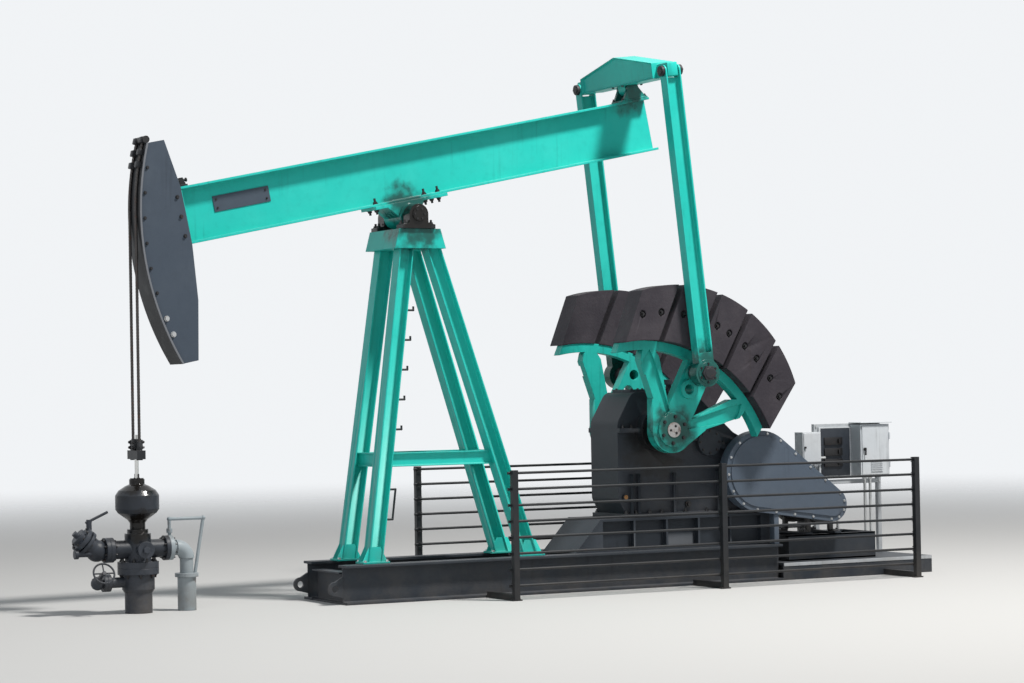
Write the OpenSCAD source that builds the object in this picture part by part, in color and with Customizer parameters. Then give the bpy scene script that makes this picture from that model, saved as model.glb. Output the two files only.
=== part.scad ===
// Beam pumping unit, drawn in millimetres.
// The origin lies on the ground under the beam pivot.
// X runs from the horsehead to the tail, the viewer stands on the -Y side, Z is up.

/* [Base skid] */
// how far the skid reaches ahead of the beam pivot
skid_front = 770; // [700:5:850]
// how far the deep runners and the pedestal reach behind the belt wheel axis
runner_tail = 200; // [150:5:230]
// how far the shallow rear frame reaches behind the control stand
frame_tail = 20; // [10:1:40]
// half of the overall skid width
skid_half_width = 446; // [440:1:450]
// depth of the runner beams
skid_height = 320; // [310:1:330]
// flange width of the runner beams
runner_flange = 166; // [150:1:180]
// depth of the cross beams between the runners
cross_depth = 260; // [220:5:290]
// depth of the rear frame channels
rear_frame_height = 152; // [140:1:160]
// thickness of the deck plate on the rear frame
deck_plate = 8; // [6:1:10]

/* [Samson post] */
// height of the beam pivot over the ground
pivot_height = 3210; // [3200:1:3230]
// foot of the front legs, ahead of the pivot
front_foot_reach = 424; // [410:1:440]
// foot of the rear legs, behind the pivot
rear_foot_reach = 1024; // [1000:1:1040]
// half of the distance between the near and far legs
leg_half_spacing = 288; // [280:1:300]
// flange width of a leg
leg_width = 125; // [110:1:135]
// height of the tie bars between the legs
tie_height = 1110; // [1080:5:1150]
// depth of the tie bars
tie_depth = 115; // [100:5:125]
// lowest step on the near front leg
step_start = 440; // [420:5:480]
// distance from step to step
step_pitch = 245; // [230:5:260]
// number of steps
steps = 9; // [7:1:9]

/* [Walking beam] */
// tilt of the beam in the stored pose, tail up
beam_rest_angle = 11.28; // [11:0.01:11.5]
// beam end ahead of the pivot
beam_front = 1945; // [1930:1:1960]
// beam end behind the tail bearing
tail_overhang = 140; // [130:1:170]
// depth of the beam section
beam_depth = 470; // [460:1:480]
// width of the beam flanges
beam_flange = 200; // [190:1:210]
// gap from the pivot axis up to the bottom flange
saddle_rise = 127; // [125:1:130]
// radius of the horsehead face about the pivot
head_radius = 2380; // [2370:1:2390]
// share of the way from the face to the beam end, at the back corner of the horsehead's top
head_back = 0.73; // [0.6:0.01:0.8]
// half of the width of the horsehead
head_half_width = 146; // [140:1:150]
// angle from the beam up to the top of the horsehead
head_top_angle = 24.6; // [24:0.1:25]
// angle from the beam down to the tip of the horsehead
head_tip_angle = 19.7; // [19:0.1:20.5]
// thickness of the horsehead plates
head_plate = 14; // [12:1:16]
// tail bearing axis behind the pivot, along the beam
tail_reach = 2390; // [2380:1:2400]
// tail bearing axis over the beam
tail_bearing_rise = 103; // [100:1:108]

/* [Equalizer and pitmans] */
// half of the length of the equalizer
equalizer_half = 690; // [680:1:695]
// height of the equalizer in the middle
equalizer_middle = 250; // [230:5:270]
// height of the equalizer at its ends
equalizer_end = 120; // [110:5:130]
// centre of each pitman, from the centre plane
pitman_y = 755; // [752:1:758]
// depth of the pitman section, along X
pitman_depth = 150; // [145:1:155]
// flange width of the pitman section, along Y
pitman_flange = 100; // [90:1:104]
// radius of the wrist bearing housing
wrist_housing = 118; // [112:1:125]

/* [Crank] */
// crankshaft axis behind the beam pivot
crankshaft_x = 2270; // [2260:1:2280]
// crankshaft axis over the ground
crankshaft_z = 1360; // [1350:1:1370]
// throw of the wrist pin
crank_throw = 530; // [525:1:535]
// direction of the crank in the stored pose, from the tail side upwards
crank_rest_angle = 66; // [64:1:68]
// radius of the crank hub plate
crank_hub = 200; // [190:1:210]
// half of the width of the middle arm
crank_arm_half = 130; // [120:1:135]
// radius of the rim face that carries the counterweights
rim_radius = 1330; // [1320:1:1340]
// how far the centre of that face lies behind the shaft
rim_setback = 630; // [620:1:640]
// thickness of the rim
rim_thick = 80; // [70:1:90]
// half of the width of the rim
rim_half = 850; // [840:1:870]
// inner face of each crank, from the centre plane
crank_inner = 465; // [462:1:470]
// thickness of a crank
crank_thick = 100; // [90:1:105]
// outer radius of the counterweights
weight_radius = 1250; // [1240:1:1260]
// half of the width of the whole counterweight
weight_half = 905; // [895:1:915]
// inner face of the counterweights, from the centre plane
weight_inner = 455; // [453:1:457]
// thickness of the counterweights
weight_thick = 230; // [220:1:231]
// width of the gap between two counterweight blocks
weight_gap = 16; // [10:1:20]

/* [Drive] */
// height of the pedestal under the gear reducer
pedestal_height = 280; // [270:1:290]
// half of the width of the pedestal
pedestal_half = 295; // [285:1:298]
// half of the width of the gear housing flanges
housing_half = 280; // [270:1:285]
// front wall of the gear housing, ahead of the crankshaft
housing_front = 620; // [600:5:640]
// top of the gear housing over the crankshaft
housing_rise = 330; // [320:1:345]
// height of the front wall of the gear housing over the crankshaft
housing_shoulder = 70; // [60:1:90]
// belt wheel axis behind the crankshaft
sheave_reach = 980; // [970:1:990]
// belt wheel axis under the crankshaft
sheave_drop = 390; // [380:1:400]
// outer radius of the belt guard round the large wheel
guard_large = 360; // [350:1:365]
// outer radius of the belt guard round the motor wheel
guard_small = 150; // [140:1:160]
// outer face of the belt guard, from the centre plane
belt_outer = 440; // [436:1:442]
// thickness of the belt guard
belt_thick = 130; // [125:1:132]
// motor axis behind the belt wheel
motor_reach = 750; // [740:1:760]
// radius of the motor body
motor_r = 172; // [165:1:180]
// half of the distance between the feet of the motor
motor_foot = 155; // [150:1:165]
// top of the motor stand
stand_top = 400; // [390:1:410]
// motor axis over its stand
motor_rise = 250; // [240:1:260]

/* [Well] */
// radius of the polished rod
rod_radius = 16; // [14:1:19]
// half of the distance between the two bridle lines
bridle_half_spacing = 74; // [70:1:78]
// radius of a bridle line
bridle_radius = 11; // [9:1:12]
// underside of the carrier bar
carrier_z = 1230; // [1220:1:1250]
// height of the carrier bar
carrier_height = 70; // [60:1:80]
// radius of the casing
casing_r = 110; // [100:1:120]
// top of the casing head
casing_top = 360; // [350:1:370]
// top of the pumping tee
tee_top = 670; // [660:1:690]
// flange face of the tee's arms, from the rod
tee_arm = 250; // [240:1:260]
// axis of the tee's arms over the casing head
tee_arm_rise = 150; // [145:1:160]
// radius of the drip pot round the stuffing box
pot_r = 175; // [165:1:185]
// height of the drip pot
pot_height = 285; // [270:1:300]
// flowline riser behind the rod
riser_reach = 410; // [400:1:430]
// radius of the flowline riser
riser_r = 75; // [68:1:80]

/* [Guard] */
// first guard post behind the pivot
guard_front = 532; // [520:1:545]
// distance from the first to the last guard post
guard_length = 4018; // [3990:2:4040]
// guard plane, from the centre plane
guard_y = 905; // [900:1:915]
// height of the guard
guard_height = 1070; // [1040:5:1100]
// side of a square guard post
guard_post = 50; // [45:1:55]
// radius of a guard rail
guard_rail_r = 11; // [9:1:13]
// number of guard rails
guard_rails = 8; // [7:1:9]

/* [Controls] */
// front upright of the control stand, behind the motor axis
control_start = 300; // [290:5:330]
// width of the control stand
control_width = 740; // [720:5:750]
// top of the control stand
control_top = 1360; // [1340:5:1380]
// height of the control panels
control_height = 560; // [540:5:580]

/* [Hidden] */
$fn = 48;
running = 0.05;
seat = 0.3;
pin_gap = 5;
shaft_r = 65;
saddle_pin_r = 50;
saddle_plate = 28;
tail_pin_r = 34;
wrist_pin_r = 45;
upper_pin_r = 30;
leg_web = 8;
leg_top_front = -60;
leg_top_rear = 190;
foot_plate = 16;
cap_half = 360;
runner_y = skid_half_width - runner_flange / 2;
runner_web_y = skid_half_width - runner_flange;
beam_rear = tail_reach + tail_overhang;
beam_top = saddle_rise + beam_depth;
tail_rise = beam_top + tail_bearing_rise;
crank_outer = crank_inner + crank_thick;
weight_outer = weight_inner + weight_thick;
boss_outer = crank_outer + 35;
rod_x = -head_radius - bridle_radius;
tail_x = tail_reach * cos(beam_rest_angle) - tail_rise * sin(beam_rest_angle);
tail_z = pivot_height + tail_reach * sin(beam_rest_angle) + tail_rise * cos(beam_rest_angle);
wrist_x = crankshaft_x + crank_throw * cos(crank_rest_angle);
wrist_z = crankshaft_z + crank_throw * sin(crank_rest_angle);
pitman_length = norm([tail_x - wrist_x, tail_z - wrist_z]);
pitman_lean = asin((wrist_x - tail_x) / pitman_length);
cap_bottom = pivot_height - 285;
cap_top = pivot_height - 120;
head_top = head_radius * sin(head_top_angle);
head_top_x = -head_radius * cos(head_top_angle);
head_back_x = head_top_x + head_back * (-beam_front - head_top_x);
pedestal_top = skid_height + pedestal_height;
sheave_x = crankshaft_x + sheave_reach;
sheave_z = crankshaft_z - sheave_drop;
motor_x = sheave_x + motor_reach;
motor_z = stand_top + motor_rise;
control_x = motor_x + control_start;
deep_runner_rear = sheave_x + runner_tail;
skid_rear = control_x + control_width + frame_tail;
control_y = 300;
pot_z = tee_top + 75;

teal = [0.05, 0.62, 0.58];
charcoal = [0.08, 0.1, 0.12];
black = [0.05, 0.05, 0.06];
steel = [0.5, 0.5, 0.5];
pale = [0.74, 0.76, 0.77];

// unit vector
function unit(v) = v / norm(v);

// points of a round that is tangent to both edges at corner b
function corner(a, b, c, r, n) =
  r == 0 ? [b] :
  let (
    u = unit(a - b),
    w = unit(c - b),
    half = acos(max(-1, min(1, u * w))) / 2,
    centre = b + unit(u + w) * (r / sin(half)),
    s = b + u * (r / tan(half)) - centre,
    e = b + w * (r / tan(half)) - centre,
    start = atan2(s.y, s.x),
    turn = ((atan2(e.y, e.x) - start + 540) % 360) - 180
  )
  [for (i = [0:n]) centre + r * [cos(start + turn * i / n), sin(start + turn * i / n)]];

// a polygon with rounded corners, one radius for each point
function rounded(p, r, n = 6) = [
  for (i = [0:len(p) - 1])
    each corner(p[(i + len(p) - 1) % len(p)], p[i], p[(i + 1) % len(p)], r[i], n)
];

// an I shaped outline standing on its lower edge, with root fillets
module i_outline(d, w, web, flange) {
  root = 8;
  polygon(rounded([
    [-w / 2, 0], [w / 2, 0], [w / 2, flange], [web / 2, flange], [web / 2, d - flange],
    [w / 2, d - flange], [w / 2, d], [-w / 2, d], [-w / 2, d - flange],
    [-web / 2, d - flange], [-web / 2, flange], [-w / 2, flange]
  ], [0, 0, 0, root, root, 0, 0, 0, 0, root, root, 0], 3));
}

// a bar of the child outline, from x0 over a length along X
module bar_x(x0, length) {
  translate([x0, 0, 0]) rotate([90, 0, 90]) linear_extrude(length) children();
}

// a bar of the child outline, from y0 to y1 along Y
module bar_y(y0, y1) {
  translate([0, y1, 0]) rotate([90, 0, 0]) linear_extrude(y1 - y0) children();
}

// a round bar along Y between two planes
module round_y(x, z, y0, y1, r) {
  translate([x, y1, z]) rotate([90, 0, 0]) cylinder(r = r, h = y1 - y0);
}

// a round bar along X between two planes
module round_x(x0, x1, y, z, r) {
  translate([x0, y, z]) rotate([0, 90, 0]) cylinder(r = r, h = x1 - x0);
}

// a copy on the near side and one on the far side
module both_sides() {
  children();
  mirror([0, 1, 0]) children();
}

module in_beam() {
  translate([0, 0, pivot_height]) rotate([0, -beam_rest_angle, 0]) children();
}

module in_crank() {
  translate([crankshaft_x, 0, crankshaft_z]) rotate([0, -crank_rest_angle, 0]) children();
}

module in_pitman() {
  translate([tail_x, 0, tail_z]) rotate([0, -pitman_lean, 0]) children();
}

// a straight member of the child outline, between two points of a plane of constant y
module strut(x0, z0, x1, z1, y) {
  run = norm([x1 - x0, z1 - z0]);
  translate([x0, y, z0]) rotate([0, atan2(x1 - x0, z1 - z0), 0]) linear_extrude(run) children();
}

// base skid
module skid_runners() {
  color(charcoal) both_sides() translate([0, runner_y, 0])
    bar_x(-skid_front, skid_front + deep_runner_rear)
      i_outline(skid_height, runner_flange, 12, 20);
}

module cross_beams() {
  span = runner_web_y - seat;
  places = [-skid_front + 60, 0, rear_foot_reach, crankshaft_x, deep_runner_rear - 60];
  color(charcoal) for (x = places)
    translate([x, -span, 0]) rotate([0, 0, 90]) bar_x(0, 2 * span) i_outline(cross_depth, 110, 9, 14);
}

module rear_frame() {
  lip = 60;
  wall = 12;
  bar = 60;
  span = skid_half_width - wall - seat;
  length = skid_rear - deep_runner_rear;
  under = rear_frame_height - deck_plate - seat;
  bays = 4;
  color(charcoal) {
    both_sides() bar_x(deep_runner_rear + seat, length - seat)
      polygon([[skid_half_width, 0], [skid_half_width - lip, 0], [skid_half_width - lip, wall],
        [skid_half_width - wall, wall], [skid_half_width - wall, under - wall],
        [skid_half_width - lip, under - wall], [skid_half_width - lip, under], [skid_half_width, under]]);
    for (i = [0:bays]) translate([deep_runner_rear + 40 + i * (length - 80 - bar) / bays,
      -skid_half_width + lip + seat, 0]) cube([bar, 2 * (skid_half_width - lip - seat), under]);
    translate([deep_runner_rear + seat, -skid_half_width, under + seat])
      cube([length - seat, 2 * skid_half_width, deck_plate]);
  }
}

module pull_lugs() {
  reach = 70;
  r = 58;
  hole = 28;
  z = skid_height / 2 - 30;
  color(charcoal) both_sides() difference() {
    bar_y(runner_y - 13, runner_y + 13) union() {
      translate([-skid_front - reach, z]) circle(r = r);
      polygon([[-skid_front - reach, z + r], [-skid_front, z + r + 40], [-skid_front, z - r - 20],
        [-skid_front - reach, z - r]]);
    }
    round_y(-skid_front - reach, z, runner_y - 30, runner_y + 30, hole);
  }
}

// samson post
module leg_outline() {
  rotate([0, 0, 90]) translate([0, -leg_width / 2]) i_outline(leg_width, leg_width, leg_web, 11);
}

// a strut along the axis of one leg, running past both ends of the leg
module leg_axis(foot_x, top_x, side) {
  slope = (top_x - foot_x) / (cap_bottom - skid_height);
  strut(foot_x - 60 * slope, skid_height - 60, top_x + 60 * slope, cap_bottom + 60,
    side * leg_half_spacing) children();
}

// a leg on its foot plate, with two gussets at the foot
module leg(foot_x, top_x, side) {
  plate_z = skid_height + foot_plate;
  y = side * leg_half_spacing;
  difference() {
    leg_axis(foot_x, top_x, side) leg_outline();
    translate([foot_x - 400, y - 200, skid_height - 200]) cube([800, 400, 200 + foot_plate / 2]);
    translate([top_x - 400, y - 200, cap_bottom]) cube([800, 400, 200]);
  }
  translate([foot_x - 120, y - 80, skid_height]) cube([240, 160, foot_plate]);
  for (s = [-1, 1]) bar_y(y + s * 45 - 5, y + s * 45 + 5)
    polygon([[foot_x - 112, plate_z - 1], [foot_x + 112, plate_z - 1], [foot_x + 50, plate_z + 120],
      [foot_x - 50, plate_z + 120]]);
}

module front_legs() {
  color(teal) for (s = [-1, 1]) leg(-front_foot_reach, leg_top_front, s);
}

module rear_legs() {
  color(teal) for (s = [-1, 1]) leg(rear_foot_reach, leg_top_rear, s);
}

// the square envelope of both legs on one side, with the seating gap round it
module leg_blocks(side) {
  w = leg_width + 2 * seat;
  leg_axis(-front_foot_reach, leg_top_front, side) square([w, w], center = true);
  leg_axis(rear_foot_reach, leg_top_rear, side) square([w, w], center = true);
}

function leg_x(foot_x, top_x, z) = foot_x + (top_x - foot_x) * (z - skid_height) / (cap_bottom - skid_height);

module leg_ties() {
  front_x = leg_x(-front_foot_reach, leg_top_front, tie_height + tie_depth / 2);
  rear_x = leg_x(rear_foot_reach, leg_top_rear, tie_height + tie_depth / 2);
  inner = leg_half_spacing - leg_web / 2 - seat;
  color(teal) {
    for (s = [-1, 1]) difference() {
      translate([front_x, s * leg_half_spacing, tie_height]) bar_x(0, rear_x - front_x)
        i_outline(tie_depth, 70, 8, 9);
      leg_blocks(s);
    }
    for (x = [front_x, rear_x]) translate([x, -inner, tie_height]) rotate([0, 0, 90])
      bar_x(0, 2 * inner) i_outline(tie_depth, 50, 8, 9);
  }
}

module post_cap() {
  wall = 20;
  outline = [[leg_top_front - 90, cap_bottom], [leg_top_rear + 110, cap_bottom],
    [leg_top_rear + 60, cap_top], [leg_top_front - 70, cap_top]];
  core = [[leg_top_front - 40, cap_bottom + wall], [leg_top_rear + 60, cap_bottom + wall],
    [leg_top_rear + 25, cap_top - wall], [leg_top_front - 28, cap_top - wall]];
  color(teal) difference() {
    bar_y(-cap_half, cap_half) polygon(outline);
    for (s = [-1, 1]) translate([0, s * (cap_half - 20), 0]) bar_y(-30, 30) polygon(core);
  }
}

module leg_steps() {
  r = 9;
  reach = 66;
  color(black) difference() {
    for (i = [0:steps - 1]) {
      z = step_start + i * step_pitch;
      if (abs(z - tie_height - tie_depth / 2) > tie_depth / 2 + 20) {
        x = leg_x(-front_foot_reach, leg_top_front, z);
        out = leg_width / 2 + reach;
        round_x(x, x + out, -leg_half_spacing, z, r);
        translate([x + out, -leg_half_spacing, z]) sphere(r = r + 2);
        translate([x + out, -leg_half_spacing, z]) cylinder(r = r, h = 34);
      }
    }
    leg_blocks(-1);
  }
}

// beam and its bearings
module centre_bearing() {
  inner = 195;
  outer = 320;
  block = 86;
  color(charcoal) {
    both_sides() {
      round_y(0, pivot_height, inner, outer, block);
      bar_y(inner, outer) polygon([[-150, cap_top], [150, cap_top], [150, cap_top + 34], [block, cap_top + 50],
        [block, pivot_height], [-block, pivot_height], [-block, cap_top + 50], [-150, cap_top + 34]]);
      round_y(0, pivot_height, outer, outer + 14, 60);
    }
    round_y(0, pivot_height, -outer, outer, saddle_pin_r);
  }
}

module saddle() {
  hub = 100;
  color(teal) difference() {
    in_beam() union() {
      round_y(0, 0, -170, 170, hub);
      translate([-240, -150, saddle_rise - saddle_plate]) cube([440, 300, saddle_plate]);
      bar_y(-150, 150) polygon([[-hub * 0.98, 0], [hub * 0.98, 0], [150, saddle_rise - saddle_plate + 1],
        [-190, saddle_rise - saddle_plate + 1]]);
    }
    round_y(0, pivot_height, -200, 200, saddle_pin_r + running);
  }
}

module walking_beam() {
  web = 12;
  flange = 20;
  rib = 14;
  places = [-beam_front, -180, 130, tail_reach - 120, tail_reach + 90, beam_rear - rib];
  color(teal) in_beam() {
    translate([0, 0, saddle_rise]) bar_x(-beam_front, beam_front + beam_rear)
      i_outline(beam_depth, beam_flange, web, flange);
    for (x = places) translate([x, -beam_flange / 2 + 6, saddle_rise + flange / 2])
      cube([rib, beam_flange - 12, beam_depth - flange]);
  }
}

module beam_plate() {
  color(charcoal) in_beam() translate([-beam_front + 290, -6 - 6, saddle_rise + 215])
    cube([500, 6, 130]);
}

// the crescent side outline of the horsehead, in beam axes
module head_side(grow) {
  tip = [-head_radius * cos(head_tip_angle), -head_radius * sin(head_tip_angle)];
  intersection() {
    polygon([[tip.x - 60, tip.y], [tip.x + 150, tip.y], [-beam_front - 45, -330],
      [-beam_front - 6, 60], [-beam_front, saddle_rise], [-beam_front, beam_top],
      [head_back_x, head_top], [head_top_x - 260, head_top],
      [-head_radius - 40, 0]]);
    circle(r = head_radius - grow, $fn = 240);
  }
}

module horsehead() {
  tip = [-head_radius * cos(head_tip_angle), -head_radius * sin(head_tip_angle)];
  inner = 104;
  color(charcoal) in_beam() {
    both_sides() bar_y(inner, inner + head_plate) head_side(head_plate);
    bar_y(-head_half_width, head_half_width) difference() {
      head_side(0);
      circle(r = head_radius - head_plate - 2, $fn = 240);
    }
    translate([-beam_front - head_plate, -inner - 1, saddle_rise]) cube([head_plate, 2 * inner + 2, beam_depth]);
    bar_y(-inner - 1, inner + 1) polygon([[tip.x + 150, tip.y], [tip.x + 138, tip.y],
      [-beam_front - 57, -330], [-beam_front - 18, 60], [-beam_front - 12, saddle_rise + 1],
      [-beam_front, saddle_rise + 1], [-beam_front - 6, 60], [-beam_front - 45, -330]]);
    bar_y(-inner - 1, inner + 1) polygon([[head_back_x, head_top], [head_back_x - head_plate, head_top],
      [-beam_front - head_plate, beam_top - 1], [-beam_front, beam_top - 1]]);
    translate([head_top_x + 4, -inner - 1, head_top - 12]) cube([head_back_x - head_top_x - 8, 2 * inner + 2, 12]);
    translate([tip.x + 6, -inner - 1, tip.y]) cube([140, 2 * inner + 2, 12]);
  }
}

module head_latch() {
  color(black) in_beam() {
    translate([-beam_front + 10, -75, beam_top]) cube([70, 150, 14]);
    for (s = [-1, 1]) {
      bar_y(s * 45 - 11, s * 45 + 11) polygon([[-beam_front + 14, beam_top + 13],
        [-beam_front + 74, beam_top + 13], [-beam_front + 56, beam_top + 72], [-beam_front + 30, beam_top + 72]]);
      round_x(-beam_front - 4, -beam_front + 92, s * 45, beam_top + 48, 10);
      translate([-beam_front + 78, s * 45, beam_top + 48]) rotate([0, 90, 0]) cylinder(r = 17, h = 12, $fn = 6);
    }
  }
}

// bridle and polished rod
module bridle_wrap() {
  bar_r = 30;
  bar_x = head_top_x + 14;
  bar_z = head_top + bar_r + seat;
  wrap = atan2(bar_z, -bar_x) - beam_rest_angle;
  color(steel) {
    translate([0, 0, pivot_height]) both_sides()
      translate([0, bridle_half_spacing, 0]) rotate([90, 0, 0]) rotate([0, 0, 180 - wrap])
        rotate_extrude(angle = wrap, $fn = 240)
          translate([head_radius + bridle_radius + seat, 0]) circle(r = bridle_radius);
    in_beam() {
      round_y(bar_x, bar_z, -112, 112, bar_r);
    }
  }
}

module bridle_lines() {
  color(steel) both_sides()
    translate([rod_x, bridle_half_spacing, carrier_z + 20])
      cylinder(r = bridle_radius, h = pivot_height - carrier_z - 20);
}

module carrier_bar() {
  top = carrier_z + carrier_height;
  half = bridle_half_spacing + 46;
  color(black) difference() {
    union() {
      translate([rod_x - 35, -half, carrier_z]) cube([70, 2 * half, carrier_height]);
      both_sides() translate([rod_x, bridle_half_spacing, top]) cylinder(r = 24, h = 26);
    }
    translate([rod_x, 0, carrier_z - 5]) cylinder(r = rod_radius + running, h = carrier_height + 10);
    both_sides() translate([rod_x, bridle_half_spacing, carrier_z + 20])
      cylinder(r = bridle_radius + running, h = carrier_height + 20);
  }
}

module rod_clamp() {
  z = carrier_z + carrier_height;
  color(black) difference() {
    union() {
      translate([rod_x, 0, z]) cylinder(r = 40, h = 92);
      for (h = [24, 66]) round_x(rod_x - 55, rod_x + 55, 34, z + h, 9);
      for (h = [24, 66]) round_x(rod_x - 55, rod_x + 55, -34, z + h, 9);
      translate([rod_x - 38, -46, z + 8]) cube([30, 92, 76]);
      translate([rod_x + 8, -46, z + 8]) cube([30, 92, 76]);
    }
    translate([rod_x, 0, z - 10]) cylinder(r = rod_radius + running, h = 120);
  }
}

module polished_rod() {
  color(steel) translate([rod_x, 0, 20])
    cylinder(r = rod_radius, h = carrier_z + carrier_height + 125 - 20);
}

// tail bearing, equalizer and pitmans
module tail_stand() {
  lug = 56;
  color(teal) in_beam() {
    translate([tail_reach - 130, -98, beam_top]) cube([260, 196, 14]);
    both_sides() bar_y(66, 96) union() {
      translate([tail_reach, tail_rise]) circle(r = lug);
      polygon([[tail_reach - 115, beam_top + 10], [tail_reach + 115, beam_top + 10],
        [tail_reach + lug, tail_rise], [tail_reach - lug, tail_rise]]);
    }
    round_y(tail_reach, tail_rise, -96, 96, tail_pin_r);
  }
}

// front outline of the equalizer beam, shrunk by a wall
module equalizer_outline(inset) {
  low = 75;
  polygon([[-equalizer_half, low + equalizer_end - inset], [-equalizer_half, low + inset],
    [equalizer_half, low + inset], [equalizer_half, low + equalizer_end - inset],
    [200, low + equalizer_middle - inset], [-200, low + equalizer_middle - inset]]);
}

module equalizer() {
  wall = 14;
  hub = 58;
  lug = 52;
  color(teal) in_pitman() {
    bar_x(-85, 170) equalizer_outline(0);
    bar_x(-110, 220) difference() {
      equalizer_outline(0);
      equalizer_outline(wall);
    }
    difference() {
      union() {
        round_y(0, 0, -60, 60, hub);
        bar_y(-60, 60) polygon([[-hub, 0], [hub, 0], [84, 80], [-84, 80]]);
      }
      round_y(0, 0, -70, 70, tail_pin_r + running);
    }
    both_sides() difference() {
      translate([-lug, equalizer_half - 30, 30]) cube([2 * lug, pitman_y + 45 - equalizer_half + 30, 120]);
      round_x(-200, 200, pitman_y, 80, upper_pin_r + running);
    }
  }
}

// the far pitman, with a clevis at the top and the wrist bearing at the foot
module pitman() {
  flange = 14;
  low = -pitman_length + wrist_housing - 20;
  web_top = 18;
  eye = 46;
  in_pitman() difference() {
    union() {
      translate([0, pitman_y, low]) linear_extrude(web_top - low)
        rotate([0, 0, 90]) translate([0, -pitman_depth / 2])
          i_outline(pitman_depth, pitman_flange, 10, flange);
      for (s = [-1, 1]) translate([s * (pitman_depth - flange) / 2, 0, 0]) {
        translate([-flange / 2, pitman_y - pitman_flange / 2, web_top - 10]) cube([flange, pitman_flange, 72]);
        round_x(-flange / 2, flange / 2, pitman_y, 80, eye + 4);
      }
      round_y(0, -pitman_length, pitman_y - 55, pitman_y + 55, wrist_housing);
      translate([-pitman_depth / 2, pitman_y - pitman_flange / 2, -pitman_length])
        cube([pitman_depth, pitman_flange, wrist_housing + 60]);
      round_y(0, -pitman_length, pitman_y + 50, pitman_y + 62, wrist_housing - 24);
    }
    round_y(0, -pitman_length, pitman_y - 80, pitman_y + 80, wrist_pin_r + running);
    round_x(-200, 200, pitman_y, 80, upper_pin_r + running);
  }
}

module near_pitman() {
  color(teal) mirror([0, 1, 0]) pitman();
}

module far_pitman() {
  color(teal) pitman();
}

// the hinge pins at the top and the wrist pins at the foot of both pitmans
module pitman_pins() {
  reach = pitman_depth / 2 + seat;
  face = pitman_y + 62 + seat;
  color(black) both_sides() {
    in_pitman() {
      round_x(-reach - 34, reach + 34, pitman_y, 80, upper_pin_r);
      round_x(-reach - 26, -reach, pitman_y, 80, upper_pin_r + 16);
      round_x(reach, reach + 26, pitman_y, 80, upper_pin_r + 16);
    }
    round_y(wrist_x, wrist_z, boss_outer + pin_gap, face + 30, wrist_pin_r);
    round_y(wrist_x, wrist_z, boss_outer + pin_gap, pitman_y - 55 - seat, 72);
    translate([wrist_x, face + 26, wrist_z]) rotate([90, 0, 0]) cylinder(r = 68, h = 26, $fn = 6);
  }
}

// crankshaft, cranks and counterweights
module crankshaft() {
  color(steel) round_y(crankshaft_x, crankshaft_z, -crank_outer - 26, crank_outer + 26, shaft_r);
}

// the disc whose edge is the face between the rim and the counterweights
module rim_disc(r) {
  translate([-rim_setback, 0]) circle(r = r, $fn = 200);
}

// one of the two slanted arms, drawn above the crank's centre line
module slant_arm(inset) {
  e = inset * 1.4;
  polygon([[20 + e, 150 - inset], [90 + e, 70 + inset], [500 - e, 405 + inset], [560 - e, 520],
    [470 - e, 580 - e], [395 - e, 560 - inset]]);
}

module crank_outline() {
  circle(r = crank_hub);
  translate([0, -crank_arm_half]) square([rim_radius - rim_setback - 10, 2 * crank_arm_half]);
  for (s = [0, 1]) mirror([0, s]) {
    slant_arm(0);
    polygon([[-60, crank_hub * 0.95], [90, 60], [200, 160], [150, 300]]);
  }
  difference() {
    intersection() {
      rim_disc(rim_radius);
      translate([0, -rim_half]) square([rim_radius, 2 * rim_half]);
    }
    rim_disc(rim_radius - rim_thick);
  }
}

// the far crank, a fan of three arms and a rim, with lightening panels on its outer face
module crank() {
  panel = 24;
  holes = [crank_throw - 150, crank_throw];
  in_crank() difference() {
    union() {
      bar_y(crank_inner, crank_outer) crank_outline();
      round_y(0, 0, crank_inner - 40, crank_outer + 20, 150);
      for (r = holes) round_y(r, 0, crank_inner, boss_outer, wrist_pin_r + 38);
    }
    round_y(0, 0, crank_inner - 100, crank_outer + 100, shaft_r + running);
    for (r = holes) round_y(r, 0, crank_inner - 100, boss_outer + 100, wrist_pin_r);
    for (s = [0, 1]) mirror([0, 0, s]) bar_y(crank_outer - panel, crank_outer + 50) slant_arm(32);
  }
}

module near_crank() {
  color(teal) mirror([0, 1, 0]) crank();
}

module far_crank() {
  color(teal) crank();
}

// the far set of five cast blocks, each with two bolt pockets
module weights() {
  share = [-1, -0.6, -0.185, 0.185, 0.6, 1];
  low = 200;
  high = 1400;
  fan = 0.93;
  gain = 1.1;
  pocket = 30;
  in_crank() for (i = [0:len(share) - 2]) {
    a = share[i] * weight_half;
    b = share[i + 1] * weight_half;
    mid = (a + b) / 2;
    difference() {
      bar_y(weight_inner, weight_outer) difference() {
        intersection() {
          circle(r = weight_radius, $fn = 200);
          polygon([[low, a * fan + weight_gap / 2], [high, a * gain + weight_gap / 2],
            [high, b * gain - weight_gap / 2], [low, b * fan - weight_gap / 2]]);
        }
        rim_disc(rim_radius + seat);
      }
      for (s = [-1, 1]) {
        v = mid + s * 0.24 * (b - a);
        u = (sqrt(weight_radius ^ 2 - v ^ 2) + sqrt(rim_radius ^ 2 - v ^ 2) - rim_setback) / 2;
        round_y(u, v, weight_outer - pocket, weight_outer + 10, 34);
      }
    }
  }
}

module near_weights() {
  color(black) mirror([0, 1, 0]) weights();
}

module far_weights() {
  color(black) weights();
}

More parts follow.
